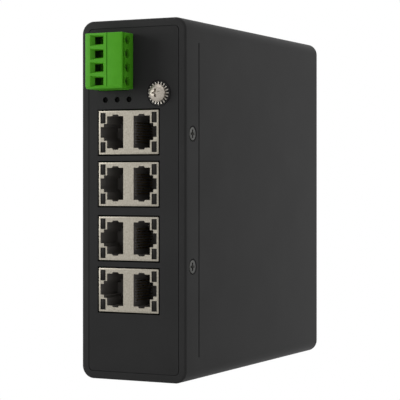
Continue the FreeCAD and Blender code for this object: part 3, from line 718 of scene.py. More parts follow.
# ------------------------------------------------------------------ screws
@dataclass(frozen=True)
class CrossScrew:
    """Screw with a cross recess, modelled upright with the middle of its face at the origin."""

    head_radius: float
    head_height: float
    thread_radius: float
    length: float
    dome: float = 0.0
    slot_width: float = 0.95
    recess_share: float = 1.45
    recess_depth: float = 0.9
    slot_rise: float = 0.5
    arm_taper: Span = (0.55, 0.8)
    pit_share: float = 0.85
    pit_taper: float = 0.4
    pit_drop: float = 0.6
    pit_rise: float = 0.2
    edge: float = 0.08
    rim: float = 0.2
    rim_search: float = 0.05
    tip_share: float = 0.25
    overlap: float = 0.1

    def recess(self) -> list[Object]:
        """Cross recess with sides that narrow towards its bottom."""
        across, depth = self.head_radius * self.recess_share, self.head_height * self.recess_depth
        lengthways, sideways = self.arm_taper
        arms = []
        for x, y, taper in ((across, self.slot_width, (lengthways, sideways, 1.0)),
                            (self.slot_width, across, (sideways, lengthways, 1.0))):
            arm = add_block("arm", (-x / 2, -y / 2, -depth), (x / 2, y / 2, self.slot_rise))
            arms.append(narrow(arm, (0, 0, -1), taper))
        return arms

    def pit(self) -> Object:
        """Conical pit in the middle of the recess."""
        radius = self.slot_width * self.pit_share
        bottom = -self.head_height * self.recess_depth - self.pit_drop
        return add_taper("pit", radius * self.pit_taper, radius, (0, 0, bottom),
                         (0, 0, self.pit_rise), 16)

    def shank(self, bottom: float) -> Object:
        """Shank from the head down."""
        return add_rod("shank", self.thread_radius, (0, 0, bottom),
                       (0, 0, -self.head_height + self.overlap))

    def countersunk(self, name: str) -> Object:
        """Countersunk screw whose length includes its head.

        Args:
            name: name of the piece.

        Returns:
            The screw.
        """
        screw = add_taper(name, self.thread_radius, self.head_radius, (0, 0, -self.head_height),
                          (0, 0, 0))
        bevel(screw, beyond("z", 0.0), self.edge, 2)
        tip = self.thread_radius * self.tip_share
        grow(screw, bevel(self.shank(-self.length), before("z", -self.length), tip, 1))
        return carve(screw, *self.recess(), self.pit())

    def pan(self, name: str) -> Object:
        """Domed pan head screw whose length doesn't include its head.

        Args:
            name: name of the piece.

        Returns:
            The screw.
        """
        screw = add_rod(name, self.head_radius, (0, 0, -self.head_height), (0, 0, 0), 64)
        radius = (self.head_radius ** 2 + self.dome ** 2) / (2 * self.dome)
        deselect()
        bpy.ops.mesh.primitive_uv_sphere_add(segments=64, ring_count=64, radius=radius / METRE,
                                             location=(0, 0, -radius / METRE))
        combine(screw, [settle(named("dome"))], Way.TRIM)
        outer, lowest = self.head_radius - self.rim_search, -self.dome - self.rim_search
        bevel(screw, lambda a, b: min(a.z, b.z) > lowest and min(a.xy.length, b.xy.length) > outer,
              self.rim, 3)
        grow(screw, self.shank(-self.head_height - self.length))
        return carve(screw, *self.recess())


class Fastener(Enum):
    """Every cross-recess screw of the switch."""

    SIDE = CrossScrew(head_radius=2.5, head_height=1.35, thread_radius=1.5, length=5.5)
    REAR = CrossScrew(head_radius=2.8, head_height=1.65, thread_radius=1.5, length=8.0)
    CLIP = CrossScrew(head_radius=2.8, head_height=1.65, thread_radius=1.5, length=6.0)
    GROUND = CrossScrew(head_radius=3.2, head_height=2.6, thread_radius=1.75, length=8.0,
                        dome=1.35, slot_width=0.9, recess_share=1.26, recess_depth=0.45)


def placed(screw: Object, name: str, at: Point, outward: Triple, spin: float = 0.0) -> Object:
    """Copy an upright screw to its place.

    Args:
        screw: the upright screw.
        name: name of the copy.
        at: place of its head's face.
        outward: direction its head faces.
        spin: turn of its recess, in degrees.

    Returns:
        The copy.
    """
    turn = Vector(outward).to_track_quat("Z", "Y").to_matrix().to_4x4()
    spun = Matrix.Rotation(math.radians(spin), 4, "Z")
    return copy_of(screw, name, Matrix.Translation(Vector(at) / METRE) @ turn @ spun)


# ------------------------------------------------------------------ case
@dataclass
class Case:
    """Cast front cover with its film, extruded body and rear plate."""

    corner: float = 4.8
    corner_faces: int = 14
    front_round: float = 0.9
    rear_bevel: float = 0.4
    body_wall: float = 3.0
    skirt_wall: float = 1.6
    face: float = 2.4
    slip: float = 0.05
    lip_setback: float = 0.3
    film_margin: float = 2.92
    film_depth: float = 0.4
    film_gap: float = 0.25
    film_corner: float = 1.8
    pad_radius: float = 4.7
    jack_gap: float = 0.5
    header_gap: float = 0.25
    light_radius: float = 1.1
    light_margin: float = 2.0
    seam_gap: float = 0.65
    seam_depth: float = 1.5
    seam_end: float = 8.9
    thread_gap: float = 0.05
    sink_radius: float = 3.1
    sink_depth: float = 1.5
    clear_radius: float = 2.1
    boss_radius: float = 3.8
    boss_length: float = 7.0
    ground_hole: float = 1.8
    ground_hole_depth: float = 7.55
    lug_depth: float = 8.0
    lug_size: float = 8.0
    lug_root: float = 0.5
    rib_thick: float = 1.2
    rib_gap: float = 0.1
    rib_span: Span = (2.5, 4.7)
    plate_gap: float = 0.1
    plate_edge: float = 0.2
    plate_sink: float = 2.85
    plate_slope: float = 0.788
    plate_rise: float = 0.8

    def __post_init__(self) -> None:
        """Read the places of the case from the CAD nodes."""
        self.low, cover_high = cad("front_cover")
        self.high = cad("body_shell")[1]
        self.front, self.seam = self.low.y, cover_high.y
        self.cover_high = Vector((self.high.x, self.seam, self.high.z))
        self.lip_front = self.front + self.face + self.lip_setback
        self.plate = cad("rear_plate")[0].y
        self.side, self.rear = Fastener.SIDE.value, Fastener.REAR.value
        self.bore = self.side.thread_radius + self.thread_gap
        low, high = cad("side_screws")
        self.side_y = low.y + self.side.head_radius
        self.side_z = (low.z + self.side.head_radius, high.z - self.side.head_radius)
        low, high = cad("ground_screw")
        self.ground = ((low.x + high.x) / 2, (low.z + high.z) / 2)
        low, high = cad("rear_plate_screws")
        self.lug_z = (low.z + self.rear.head_radius, high.z - self.rear.head_radius)
        low, high = cad("bracket_screws")
        head = Fastener.CLIP.value.head_radius
        self.clip_x, self.clip_z = (low.x + head, high.x - head), (low.z + high.z) / 2

    def light_places(self) -> list[Span]:
        """X and Z of each status light."""
        low, high = cad("status_lenses")
        radius = (high.z - low.z) / 2
        first, last = low.x + radius, high.x - radius
        return [(first + (last - first) * step / 2, low.z + radius) for step in range(3)]

    def openings(self, y_span: Span) -> list[Object]:
        """Cutters for the jacks and the header.

        Args:
            y_span: where they begin and end.

        Returns:
            The cutters.
        """
        gaps = {f"jack_shield_{number}": self.jack_gap for number in range(1, 5)}
        tools = []
        for node, gap in {**gaps, "terminal_header": self.header_gap}.items():
            low, high = cad(node)
            tools.append(add_block("opening", (low.x - gap, y_span[0], low.z - gap),
                                   (high.x + gap, y_span[1], high.z + gap)))
        return tools

    def side_rod(self, radius: float, side: int, height: float, depth: float,
                 sides: int) -> Object:
        """Rod that cuts into one side at a side screw.

        Args:
            radius: its radius.
            side: -1 for the left side, 1 for the right one.
            height: height of the screw.
            depth: how far it reaches in.
            sides: faces round it.

        Returns:
            The cutter.
        """
        return add_rod("bore", radius, (side * self.high.x, self.side_y, height),
                       (side * (self.high.x - depth), self.side_y, height), sides)

    def cover(self) -> Object:
        """Build the cast front cover."""
        front, seam, high = self.front, self.seam, self.cover_high
        back = front + self.face
        shell = rounded_block("front_cover_cast", self.low, high, self.corner, self.corner_faces,
                              self.front_round)
        carve(shell, inset_block("inside", self.low, high, self.skirt_wall, (back, seam + PAST),
                                 self.corner - self.skirt_wall))
        grow(shell, rod_y("boss", self.boss_radius, self.ground,
                          (front + PAST, back + self.boss_length)))
        recess = inset_block("recess", self.low, high, self.film_margin,
                             (front - PAST, front + self.film_depth), self.film_corner)
        carve(recess, rod_y("pad", self.pad_radius, self.ground,
                            (front - 2 * PAST, front + 2 * PAST), 64))
        through = (front - PAST, back + PAST)
        lights, margin = self.light_places(), self.light_margin
        window = add_block("window", (lights[0][0] - margin, through[0], lights[0][1] - margin),
                           (lights[-1][0] + margin, through[1], lights[0][1] + margin))
        hole = rod_y("hole", self.ground_hole, self.ground,
                     (front - PAST, front + self.ground_hole_depth))
        carve(shell, recess, *self.openings(through), window, hole)
        slope = (self.side.head_radius - self.side.thread_radius) / self.side.head_height
        for side in (-1, 1):
            face = side * self.high.x
            carve(shell, add_block(
                "relief", (face + side * PAST, seam - self.seam_gap, self.seam_end),
                (face - side * self.seam_depth, seam + PAST, self.high.z - self.seam_end)))
            for height in self.side_z:
                sink = add_taper("sink", self.sink_radius + slope * PAST,
                                 self.sink_radius - slope * self.sink_depth,
                                 (face + side * PAST, self.side_y, height),
                                 (face - side * self.sink_depth, self.side_y, height))
                carve(shell, sink, self.side_rod(self.clear_radius, side, height,
                                                 self.skirt_wall + PAST, 48))
        return shell

    def film(self) -> Object:
        """Build the printed film in its recess."""
        front = self.front
        sheet = inset_block("front_film_sheet", self.low, self.cover_high,
                            self.film_margin + self.film_gap, (front, front + self.film_depth),
                            self.film_corner - self.film_gap)
        through = (front - PAST, front + PAST)
        pad = rod_y("pad", self.pad_radius + self.film_gap, self.ground, through, 64)
        holes = [rod_y("light_hole", self.light_radius, place, through, 40)
                 for place in self.light_places()]
        return carve(sheet, *self.openings(through), pad, *holes)

    def body(self) -> Object:
        """Build the extruded body with its lip, lugs and ribs."""
        low, high = Vector((self.low.x, self.seam, self.low.z)), self.high
        shell = rounded_block("body_extrusion", low, high, self.corner, self.corner_faces, 0.0,
                              self.rear_bevel)
        inset = self.skirt_wall + self.slip
        grow(shell, inset_block("lip", low, high, inset, (self.lip_front, self.seam + PAST),
                                self.corner - inset))
        carve(shell, inset_block("hollow", low, high, self.body_wall,
                                 (self.front, high.y + PAST), self.corner - self.body_wall))
        half, lug_front = self.lug_size / 2, self.plate - self.lug_depth
        for side, z in ((-1, self.lug_z[0]), (1, self.lug_z[1])):
            grow(shell, add_block("lug", (-half, lug_front, z - side * half),
                                  (half, self.plate, z + side * (half + self.lug_root))))
            carve(shell, rod_y("bore", self.bore, (0, z),
                               (lug_front - PAST, self.plate + PAST), 32))
        board_low, board_high = cad("main_board")
        near, far = self.rib_span
        for x in (board_low.x - self.rib_gap - self.rib_thick, board_high.x + self.rib_gap):
            for bottom, top in ((near, far), (high.z - far, high.z - near)):
                grow(shell, add_block("rib", (x, self.lip_front, bottom),
                                      (x + self.rib_thick, self.plate, top)))
        for side in (-1, 1):
            for height in self.side_z:
                carve(shell, self.side_rod(self.bore, side, height, self.body_wall + PAST, 32))
        return shell

    def rear_plate(self) -> Object:
        """Build the rear plate with its countersinks."""
        low, high = cad("rear_plate")
        plate = rounded_block("rear_plate_sheet", low, high,
                              self.corner - self.body_wall - self.plate_gap, 8)
        bevel(plate, beyond("y", high.y), self.plate_edge, 2)
        for z in self.lug_z:
            sink = add_taper("sink", self.bore, self.plate_sink + self.plate_rise,
                             (0, high.y - self.rear.head_height, z),
                             (0, high.y + self.plate_rise / self.plate_slope, z))
            carve(plate, sink, rod_y("bore", self.bore, (0, z), (low.y - PAST, high.y), 32))
        for x in self.clip_x:
            carve(plate, rod_y("bore", self.bore, (x, self.clip_z),
                               (low.y - PAST, high.y + PAST), 32))
        return plate

    def screws(self, name: str, model: Fastener, look: Look, node: str,
               places: Iterable[tuple[Triple, Triple, float]]) -> None:
        """Build and dress one group of the same countersunk screw.

        Args:
            name: name of the group.
            model: the screw.
            look: its finish.
            node: the CAD node it replaces.
            places: place, direction and spin of each.
        """
        upright = model.value.countersunk("upright")
        copies = [placed(upright, f"{name}_{n}", *place) for n, place in enumerate(places)]
        discard(upright)
        finish(joined(copies, name), look, node)

    def build(self) -> None:
        """Build and dress every piece of the case, then its three groups of screws."""
        finish(self.cover(), Look.CASE, "front_cover")
        finish(self.film(), Look.FILM, "front_film")
        finish(self.body(), Look.CASE, "body_shell")
        finish(self.rear_plate(), Look.CASE, "rear_plate")
        face, spins = cad("side_screws")[1].x, iter((20.0, 65.0, 0.0, 0.0))
        self.screws("side_screw_set", Fastener.SIDE, Look.BLACK_ZINC, "side_screws",
                    [((side * face, self.side_y, z), (side, 0, 0), next(spins))
                     for side in (-1, 1) for z in self.side_z])
        face = cad("rear_plate")[1].y
        self.screws("rear_screw_set", Fastener.REAR, Look.BLACK_ZINC,
                    "rear_plate_screws", [((0, face, z), (0, 1, 0), 25.0 + z) for z in self.lug_z])
        face = cad("bracket_screws")[1].y
        self.screws("clip_screw_set", Fastener.CLIP, Look.ZINC, "bracket_screws",
                    [((x, face, self.clip_z), (0, 1, 0), 15.0 + x) for x in self.clip_x])


@dataclass
class GroundTerminal:
    """Domed ground screw with its toothed lock washer."""

    tooth_count: int = 20
    tooth_depth: float = 1.15
    tooth_root: float = 0.4
    tooth_width: float = 0.42
    tooth_taper: float = 0.8
    tooth_edge: float = 0.03
    twist: float = 20.0
    slack: float = 0.02
    hole_radius: float = 1.95

    def washer(self) -> Object:
        """Build the washer: a ring, and teeth twisted on their own radius."""
        low, high = cad("toothed_washer")
        centre = (low + high) / 2
        at = (centre.x, centre.z)
        root = (high.x - low.x) / 2 - self.tooth_depth
        ring = rod_y("lock_washer", root, at, (low.y, high.y), 80)
        twist, half = math.radians(self.twist), self.tooth_width / 2
        room = high.y - low.y - self.slack - self.tooth_width * math.sin(twist)
        thin = room / math.cos(twist)
        tooth = add_block("tooth", (0, -thin / 2, -half),
                          (self.tooth_depth + self.tooth_root, thin / 2, half))
        narrow(tooth, (1, 0, 0), (1.0, 1.0, self.tooth_taper))
        bevel(tooth, along("x", 0.1), self.tooth_edge, 1)
        out = Matrix.Translation(Vector((root - self.tooth_root, 0, 0)) / METRE)
        teeth = []
        for index in range(self.tooth_count):
            about = Matrix.Rotation(math.tau * index / self.tooth_count, 4, "Y")
            place = Matrix.Translation(centre / METRE) @ about @ out
            teeth.append(copy_of(tooth, "tooth", place @ Matrix.Rotation(twist, 4, "X")))
        discard(tooth)
        grow(ring, *teeth)
        return carve(ring, rod_y("hole", self.hole_radius, at, (low.y - PAST, high.y + PAST)))

    def build(self) -> None:
        """Build and dress both pieces."""
        finish(self.washer(), Look.TOOTH_NICKEL, "toothed_washer")
        low, high = cad("ground_screw")
        centre = (low + high) / 2
        upright = Fastener.GROUND.value.pan("upright")
        screw = placed(upright, "ground_pan_screw", (centre.x, low.y, centre.z), (0, -1, 0))
        discard(upright)
        finish(screw, Look.NICKEL, "ground_screw")


# ------------------------------------------------------------------ jacks
@dataclass
class TwoPortJack:
    """Shielded jack with two ports, four light windows and sprung contacts."""

    number: int
    outer_edge: float = 3.6
    inner_edge: float = 10.6
    half_height: float = 6.03
    step_edge: float = 2.2
    step_half: float = 3.2
    port_rise: float = 0.15
    end_edge: float = 0.8
    end_half: float = 2.05
    notch_centre: float = 7.2
    notch_width: float = 2.9
    notch_depth: float = 0.6
    notch_slope: float = 0.35
    window_width: float = 2.2
    window_height: float = 4.0
    window_margin: float = 0.75
    window_recess: float = 0.25
    window_thick: float = 1.6
    window_edge: float = 0.15
    port_depth: float = 13.0
    sheet: float = 0.3
    fold_round: float = 0.35
    front_edge: float = 0.18
    slack: float = 0.1
    cut_past: float = 0.5
    peg_height: float = 4.8
    peg_half: float = 1.0
    peg_span: Span = (8.0, 10.0)
    peg_root: float = 0.2
    peg_edge: float = 0.3
    rib_start: float = 1.2
    rib_rise: float = 0.55
    rib_half: float = 0.16
    contact_count: int = 8
    contact_pitch: float = 1.02
    contact_width: float = 0.45
    contact_thick: float = 0.3
    contact_start: float = 2.6
    contact_edge: float = 0.06
    contact_lean: float = 0.1
    # Rise from the inner wall, and distance back, of each bend of a contact.
    contact_path: tuple[Span, ...] = ((0.0, 0.0), (0.0, 1.25), (0.05, 1.5), (0.16, 1.72),
                                      (1.95, 7.55), (2.13, 7.85), (2.2, 8.0))

    def __post_init__(self) -> None:
        """Read the jack's place from its shield."""
        self.low, self.high = cad(f"jack_shield_{self.number}")
        self.front = self.low.y
        self.z = (self.low.z + self.high.z) / 2
        self.wall = self.inner_edge + self.slack

    def place(self, side: int, local: float) -> float:
        """X of a distance counted in from the jack's left or right end."""
        return self.high.x - local if side > 0 else self.low.x + local

    def outline(self, side: int, grow_by: float) -> list[Span]:
        """Outline of one port: main opening, two latch steps outwards, spring notches.

        Args:
            side: -1 for the left port, 1 for the right one.
            grow_by: how much wider than the shield's cut-out.

        Returns:
            X and Z of its corners.
        """
        tall = self.half_height + grow_by
        mid, low = self.step_half + grow_by, self.end_half + grow_by
        outer, step, end = self.outer_edge - grow_by, self.step_edge - grow_by, self.end_edge
        near = self.notch_centre + self.notch_width / 2
        far = self.notch_centre - self.notch_width / 2
        top = tall + self.notch_depth
        upper = [(self.inner_edge + grow_by, tall), (near, tall), (near - self.notch_slope, top),
                 (far + self.notch_slope, top), (far, tall),
                 (outer, tall), (outer, mid), (step, mid), (step, low), (end, low)]
        lower = [(x, -height) for x, height in reversed(upper)]
        middle = self.z + self.port_rise
        return [(self.place(side, x), middle + height) for x, height in upper + lower]

    def cut_ports(self, block: Object, grow_by: float, back: float, window_back: float) -> Object:
        """Cut both ports and the four windows.

        Args:
            block: the shield or the insert.
            grow_by: how much wider than the shield's cut-outs.
            back: where the ports end.
            window_back: where the windows end.

        Returns:
            The same piece.
        """
        carve(block, *(add_prism("port", self.outline(side, grow_by), Plane.XZ,
                                 self.front - PAST, back) for side in (-1, 1)))
        return carve(block, *self.window_blocks(self.front - PAST, window_back))

    def window_blocks(self, front: float, back: float) -> list[Object]:
        """Blocks as wide and tall as the four light windows.

        Args:
            front: where they begin.
            back: where they end.

        Returns:
            The blocks.
        """
        blocks = []
        for side in (-1, 1):
            x = [self.place(side, self.window_margin + more) for more in (0.0, self.window_width)]
            for way in (-1, 1):
                far = self.z + way * ((self.high.z - self.low.z) / 2 - self.window_margin)
                blocks.append(add_block("window", (x[0], front, far),
                                        (x[1], back, far - way * self.window_height)))
        return blocks

    def shield(self) -> Object:
        """Build the folded shield with its cut-outs."""
        low, high, sheet = self.low, self.high, self.sheet
        shell = add_block(f"shield_{self.number}", low, high)
        right, lengthways = beyond("x", high.x), along("y")
        bevel(shell, lambda a, b: right(a, b) and lengthways(a, b), self.fold_round, 4)
        bevel(shell, before("y", low.y), self.front_edge, 3)
        carve(shell, add_block("inside", (low.x - PAST, low.y + sheet, low.z + sheet),
                               (high.x - sheet, high.y - sheet, high.z - sheet)))
        back = low.y + sheet + self.cut_past
        return self.cut_ports(shell, 0.0, back, back)

    def insert(self) -> Object:
        """Build the moulded insert: port cavities with contact channels, light channels, pegs."""
        low, high, sheet, front = self.low, self.high, self.sheet, self.front
        block = add_block(f"insert_{self.number}", (low.x, low.y + sheet, low.z + sheet),
                          (high.x - sheet, high.y - sheet, high.z - sheet))
        self.cut_ports(block, self.slack, front + self.port_depth,
                       low.y + self.window_recess + self.window_thick)
        peg_x, half = cad(f"jack_insert_{self.number}")[0].x, self.peg_half
        for way in (-1, 1):
            z = self.z + way * self.peg_height
            peg = add_block("peg", (peg_x, front + self.peg_span[0], z - half),
                            (low.x + self.peg_root, front + self.peg_span[1], z + half))
            grow(block, bevel(peg, before("x", peg_x), self.peg_edge, 1))
        for side in (-1, 1):
            wall = self.place(side, self.wall)
            for index in range(self.contact_count + 1):
                z = self.z + (index - self.contact_count / 2) * self.contact_pitch
                grow(block, add_block(
                    "rib", (wall - side * self.slack, front + self.rib_start, z - self.rib_half),
                    (wall + side * self.rib_rise, front + self.port_depth + self.slack,
                     z + self.rib_half)))
        return block

    def contacts(self) -> Object:
        """Build the contacts of both ports: each lies along the inner wall, then rises back."""
        wires = []
        thick, half = self.contact_thick, self.contact_width / 2
        base = self.front + self.contact_start
        for side in (-1, 1):
            near = [(self.place(side, self.wall - rise), base + back)
                    for rise, back in self.contact_path]
            far = [(self.place(side, self.wall - rise - thick),
                    base + back - self.contact_lean * min(rise, 1.0))
                   for rise, back in reversed(self.contact_path)]
            first = add_prism("wire", near + far, Plane.XY, self.z - half, self.z + half)
            bevel(first, lambda a, b: abs(a.z - b.z) < TOUCH and (a - b).length > thick + 0.01,
                  self.contact_edge, 1)
            for index in range(self.contact_count):
                shift = (index - (self.contact_count - 1) / 2) * self.contact_pitch
                wires.append(copy_of(first, "wire", Matrix.Translation((0, 0, shift / METRE))))
            discard(first)
        return joined(wires, f"contacts_{self.number}")

    def windows(self) -> Object:
        """Build the four light windows."""
        front = self.front + self.window_recess
        panes = [bevel(pane, before("y", front), self.window_edge, 2)
                 for pane in self.window_blocks(front, front + self.window_thick)]
        return joined(panes, f"light_windows_{self.number}")

    def build(self) -> None:
        """Build and dress the jack."""
        n = self.number
        finish(self.shield(), Look.SHIELD, f"jack_shield_{n}")
        finish(self.insert(), Look.INSERT, f"jack_insert_{n}")
        finish(self.contacts(), Look.GOLD, f"jack_contacts_{n}")
        finish(self.windows(), Look.GUIDE, f"jack_windows_{n}")


# ------------------------------------------------------------------ power terminal
@dataclass
class TerminalPlug:
    """Green four-pole plug with wire funnels, driver holes and its rising cage clamps."""

    poles: int = 4
    pitch: float = 5.08
    edge: float = 0.35
    neck_drop: float = 1.9
    neck_height: float = 10.8
    neck_cut: float = 0.9
    neck_edge: float = 0.25
    entry_low: float = 3.6
    entry_high: float = 7.2
    entry_half: float = 1.4
    flare: float = 1.4
    flare_near: float = 0.7
    flare_high: float = 0.85
    flare_far: float = 0.25
    funnel_depth: float = 1.2
    funnel_lead: float = 0.01
    wall: float = 1.3
    overlap: float = 0.5
    axis_setback: float = 4.1
    chamber_half: float = 2.05
    chamber_low: float = 2.0
    chamber_high: float = 12.5
    ledge: float = 0.7
    shank_half: float = 1.3
    driver_radius: float = 1.75
    probe_size: float = 1.0
    probe_setback: float = 0.65
    pin_half: float = 0.5
    fork_half: float = 1.0
    slot_half: float = 0.3
    pin_room: float = 1.25
    seam_at: float = 9.2
    seam_width: float = 0.35
    seam_depth: float = 0.3
    groove_setback: float = 0.5
    groove_width: float = 1.3
    groove_depth: float = 0.45
    lower_bevel: float = 0.8
    panel_gap: float = 0.2
    cage_edge: float = 0.08
    screw_edge: float = 0.06

    def __post_init__(self) -> None:
        """Read the plug's place from its CAD node."""
        self.low, self.high = cad("terminal_plug")
        self.front = self.low.y
        self.back = cad("front_cover")[0].y - self.panel_gap
        self.middle = (self.low.z + self.high.z) / 2
        self.axis = self.front + self.axis_setback
        self.pin_x = cad("header_pins")[1].x - self.pin_half

    def pole_places(self) -> list[float]:
        """Height of each pole, from the top down."""
        first = (self.poles - 1) / 2
        return [self.middle + (first - index) * self.pitch for index in range(self.poles)]

    def funnel(self, z: float) -> Object:
        """Cutter for one wire mouth, wider at its front and on its left.

        Args:
            z: height of the pole.

        Returns:
            The cutter.
        """
        half, depth = self.entry_half, self.front + self.funnel_depth
        a, b = self.low.x + self.entry_low, self.low.x + self.entry_high
        near, far = half + self.flare_near, half + self.flare_far
        left, right = a - self.flare, b + self.flare_high
        mouth = add_prism(
            "funnel", [(left, z - near), (right, z - far), (right, z + far), (left, z + near)],
            Plane.XZ, self.front - self.funnel_lead, depth)
        pick(mouth, True, lambda middle, normal: middle.y > depth - TOUCH)
        rear = [mouth.data.vertices[index].co for face in mouth.data.polygons if face.select
                for index in face.vertices]
        middle = sum(rear, Vector()) / len(rear)
        wide = max(corner.x for corner in rear) - min(corner.x for corner in rear)
        tall = max(corner.z for corner in rear) - min(corner.z for corner in rear)
        kept = ((b - a) / METRE / wide, 1.0, 2 * half / METRE / tall)
        target = Vector(((a + b) / 2, depth, z)) / METRE
        with editing():
            bpy.ops.transform.resize(value=kept, center_override=middle)
            bpy.ops.transform.translate(value=target - middle)
        return mouth

    def pole_tools(self, z: float) -> list[Object]:
        """Everything cut from the plug for one pole.

        Args:
            z: height of the pole.

        Returns:
            The cutters.
        """
        x, right, front, axis, pin_x = self.low.x, self.high.x, self.front, self.axis, self.pin_x
        inner, far = front + self.wall, 2 * axis - front - self.wall
        top = x + self.chamber_high
        ledge_top = top + self.ledge
        probe = front + self.probe_setback

        def slab(name: str, x_span: Span, y_span: Span, half: float) -> Object:
            """Block about the pole's middle."""
            return add_block(name, (x_span[0], y_span[0], z - half),
                             (x_span[1], y_span[1], z + half))

        return [
            self.funnel(z),
            slab("hole", (x + self.entry_low, x + self.entry_high), (front, inner + self.overlap),
                 self.entry_half),
            slab("chamber", (x + self.chamber_low, top), (inner, far), self.chamber_half),
            slab("shank", (top - self.overlap, ledge_top),
                 (axis - self.shank_half, axis + self.shank_half), self.shank_half),
            add_rod("driver", self.driver_radius, (ledge_top, axis, z), (right + PAST, axis, z),
                    40),
            slab("probe", (right - self.probe_size, right + PAST), (probe, probe + self.probe_size),
                 self.probe_size),
            slab("fork", (pin_x - self.fork_half, pin_x + self.fork_half),
                 (self.back, self.high.y + PAST), self.pin_room),
            slab("slot", (pin_x - self.slot_half, pin_x + self.slot_half),
                 (far - self.overlap, self.back + self.overlap), self.pin_room),
        ]

    def housing(self) -> Object:
        """Build the green housing."""
        low, high, front = self.low, self.high, self.front
        block = add_block("plug_housing", low, (high.x, self.back, high.z))
        at_front, at_bottom = before("y", front), before("z", low.z)
        bevel(block, lambda a, b: at_front(a, b) and at_bottom(a, b), self.lower_bevel, 1)
        soften(block, self.edge, 3)
        neck_low = low.x + self.neck_drop
        neck = add_block("neck", (neck_low, self.back - self.edge, low.z + self.neck_cut),
                         (neck_low + self.neck_height, high.y, high.z - self.neck_cut))
        grow(block, bevel(neck, beyond("y", high.y), self.neck_edge, 2))
        seam, groove = low.x + self.seam_at, front + self.groove_setback
        carve(block, add_block("seam", (seam, front - PAST, low.z - PAST),
                               (seam + self.seam_width, front + self.seam_depth, high.z + PAST)),
              add_block("groove", (high.x - self.groove_depth, groove, low.z - PAST),
                        (high.x + PAST, groove + self.groove_width, high.z + PAST)))
        for z in self.pole_places():
            carve(block, *self.pole_tools(z))
        return block

    def build(self) -> None:
        """Build and dress the plug and its clamps."""
        finish(self.housing(), Look.GREEN, "terminal_plug", "plug")
        for number in range(1, self.poles + 1):
            node = f"clamp_cage_{number}"
            cage = soften(merged(node, f"cage_{number}"), self.cage_edge, 2)
            finish(cage, Look.TIN, node, node)
            node = f"clamp_screw_{number}"
            screw = soften(merged(node, f"slotted_screw_{number}"), self.screw_edge, 2)
            finish(screw, Look.CLAMP_STEEL, node, node)


# ------------------------------------------------------------------ lights, clip and inner parts
@dataclass
class StatusLights:
    """Three domed ends of light guides behind the film."""

    case: Case
    edge: float = 0.2

    def build(self) -> None:
        """Build and dress the guides."""
        low, high = cad("status_lenses")
        guides = []
        for place in self.case.light_places():
            guide = rod_y("guide", (high.z - low.z) / 2, place, (low.y, high.y), 40)
            guides.append(bevel(guide, before("y", low.y), self.edge, 3))
        finish(joined(guides, "light_guides"), Look.LENS, "status_lenses")


@dataclass
class RailClip:
    """Clip for the top hat rail: bracket, sliding latch and its spring."""

    bracket_edge: float = 0.3
    latch_edge: float = 0.25
    wire: float = 0.15
    turns: int = 6
    slack: float = 0.02

    def spring(self) -> Object:
        """Build the coil: a round wire section, screwed along its axis."""
        low, high = cad("latch_spring")
        centre = (low + high) / 2
        radius = (high.x - low.x) / 2 - self.wire - self.slack
        deselect()
        bpy.ops.mesh.primitive_circle_add(vertices=10, radius=self.wire / METRE,
                                          location=(radius / METRE, 0, 0),
                                          rotation=(math.pi / 2, 0, 0))
        coil = settle(named("latch_coil"))
        modifier = coil.modifiers.new("coil", "SCREW")
        modifier.axis = "Z"
        modifier.angle = math.tau
        modifier.screw_offset = (high.z - low.z - 2 * self.wire) / self.turns / METRE
        modifier.iterations = self.turns
        modifier.steps = modifier.render_steps = 24
        bpy.ops.object.modifier_apply(modifier=modifier.name)
        with editing():
            bpy.ops.mesh.select_all(action="SELECT")
            bpy.ops.mesh.remove_doubles(threshold=1e-6)
            bpy.ops.mesh.select_all(action="DESELECT")
            bpy.ops.mesh.select_mode(type="EDGE")
            bpy.ops.mesh.select_non_manifold()
            bpy.ops.mesh.fill()
            bpy.ops.mesh.select_all(action="SELECT")
            bpy.ops.mesh.normals_make_consistent(inside=False)
        coil.location = Vector((centre.x, centre.y, low.z + self.wire)) / METRE
        return settle(coil)

    def build(self) -> None:
        """Build and dress the clip."""
        bracket = soften(merged("din_bracket", "clip_bracket"), self.bracket_edge, 3)
        finish(bracket, Look.ZINC, "din_bracket")
        latch = soften(merged("din_latch", "clip_latch"), self.latch_edge, 3)
        finish(latch, Look.ZINC, "din_latch", "latch")
        coil = finish(self.spring(), Look.SPRING, "latch_spring")
        low, high = cad("latch_spring")
        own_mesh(coil)


def dress_inner_parts() -> None:
    """Give the parts inside the closed case their finishes."""
    looks = {
        "terminal_header": Look.GREEN, "header_pins": Look.TIN, "plug_contacts": Look.TIN,
        "main_board": Look.BOARD, "light_block": Look.INSERT, "switch_chip": Look.EPOXY,
        "heat_sink": Look.SINK, "filter_capacitors": Look.CAN, "power_inductor": Look.EPOXY,
        "crystal": Look.CAN, "input_diodes": Look.EPOXY,
    }
    for node, look in looks.items():
        mesh = frame["nodes"][node].data
        mesh.materials.clear()
        mesh.materials.append(look.material())
        LOG.info("%s: dressed", node)


# ------------------------------------------------------------------ studio: sizes in metres
def white_to_eye(tree: NodeTree, lit: Node, white: Node) -> Socket:
    """Show plain white to the camera and reflections, and another shader to light.

    Args:
        tree: the node tree.
        lit: the shader that light meets.
        white: the white shader.

    Returns:
        The mixed shader.
    """
    rays = add_node(tree, "LightPath").outputs
    seen = rays["Is Camera Ray"]
    for kind in ("Is Glossy Ray", "Is Transmission Ray"):
        seen = add_node(tree, "Math", {0: seen, 1: rays[kind]}, operation="MAXIMUM").outputs[0]
    return add_node(tree, "MixShader", {0: seen, 1: lit.outputs[0], 2: white.outputs[0]}).outputs[0]


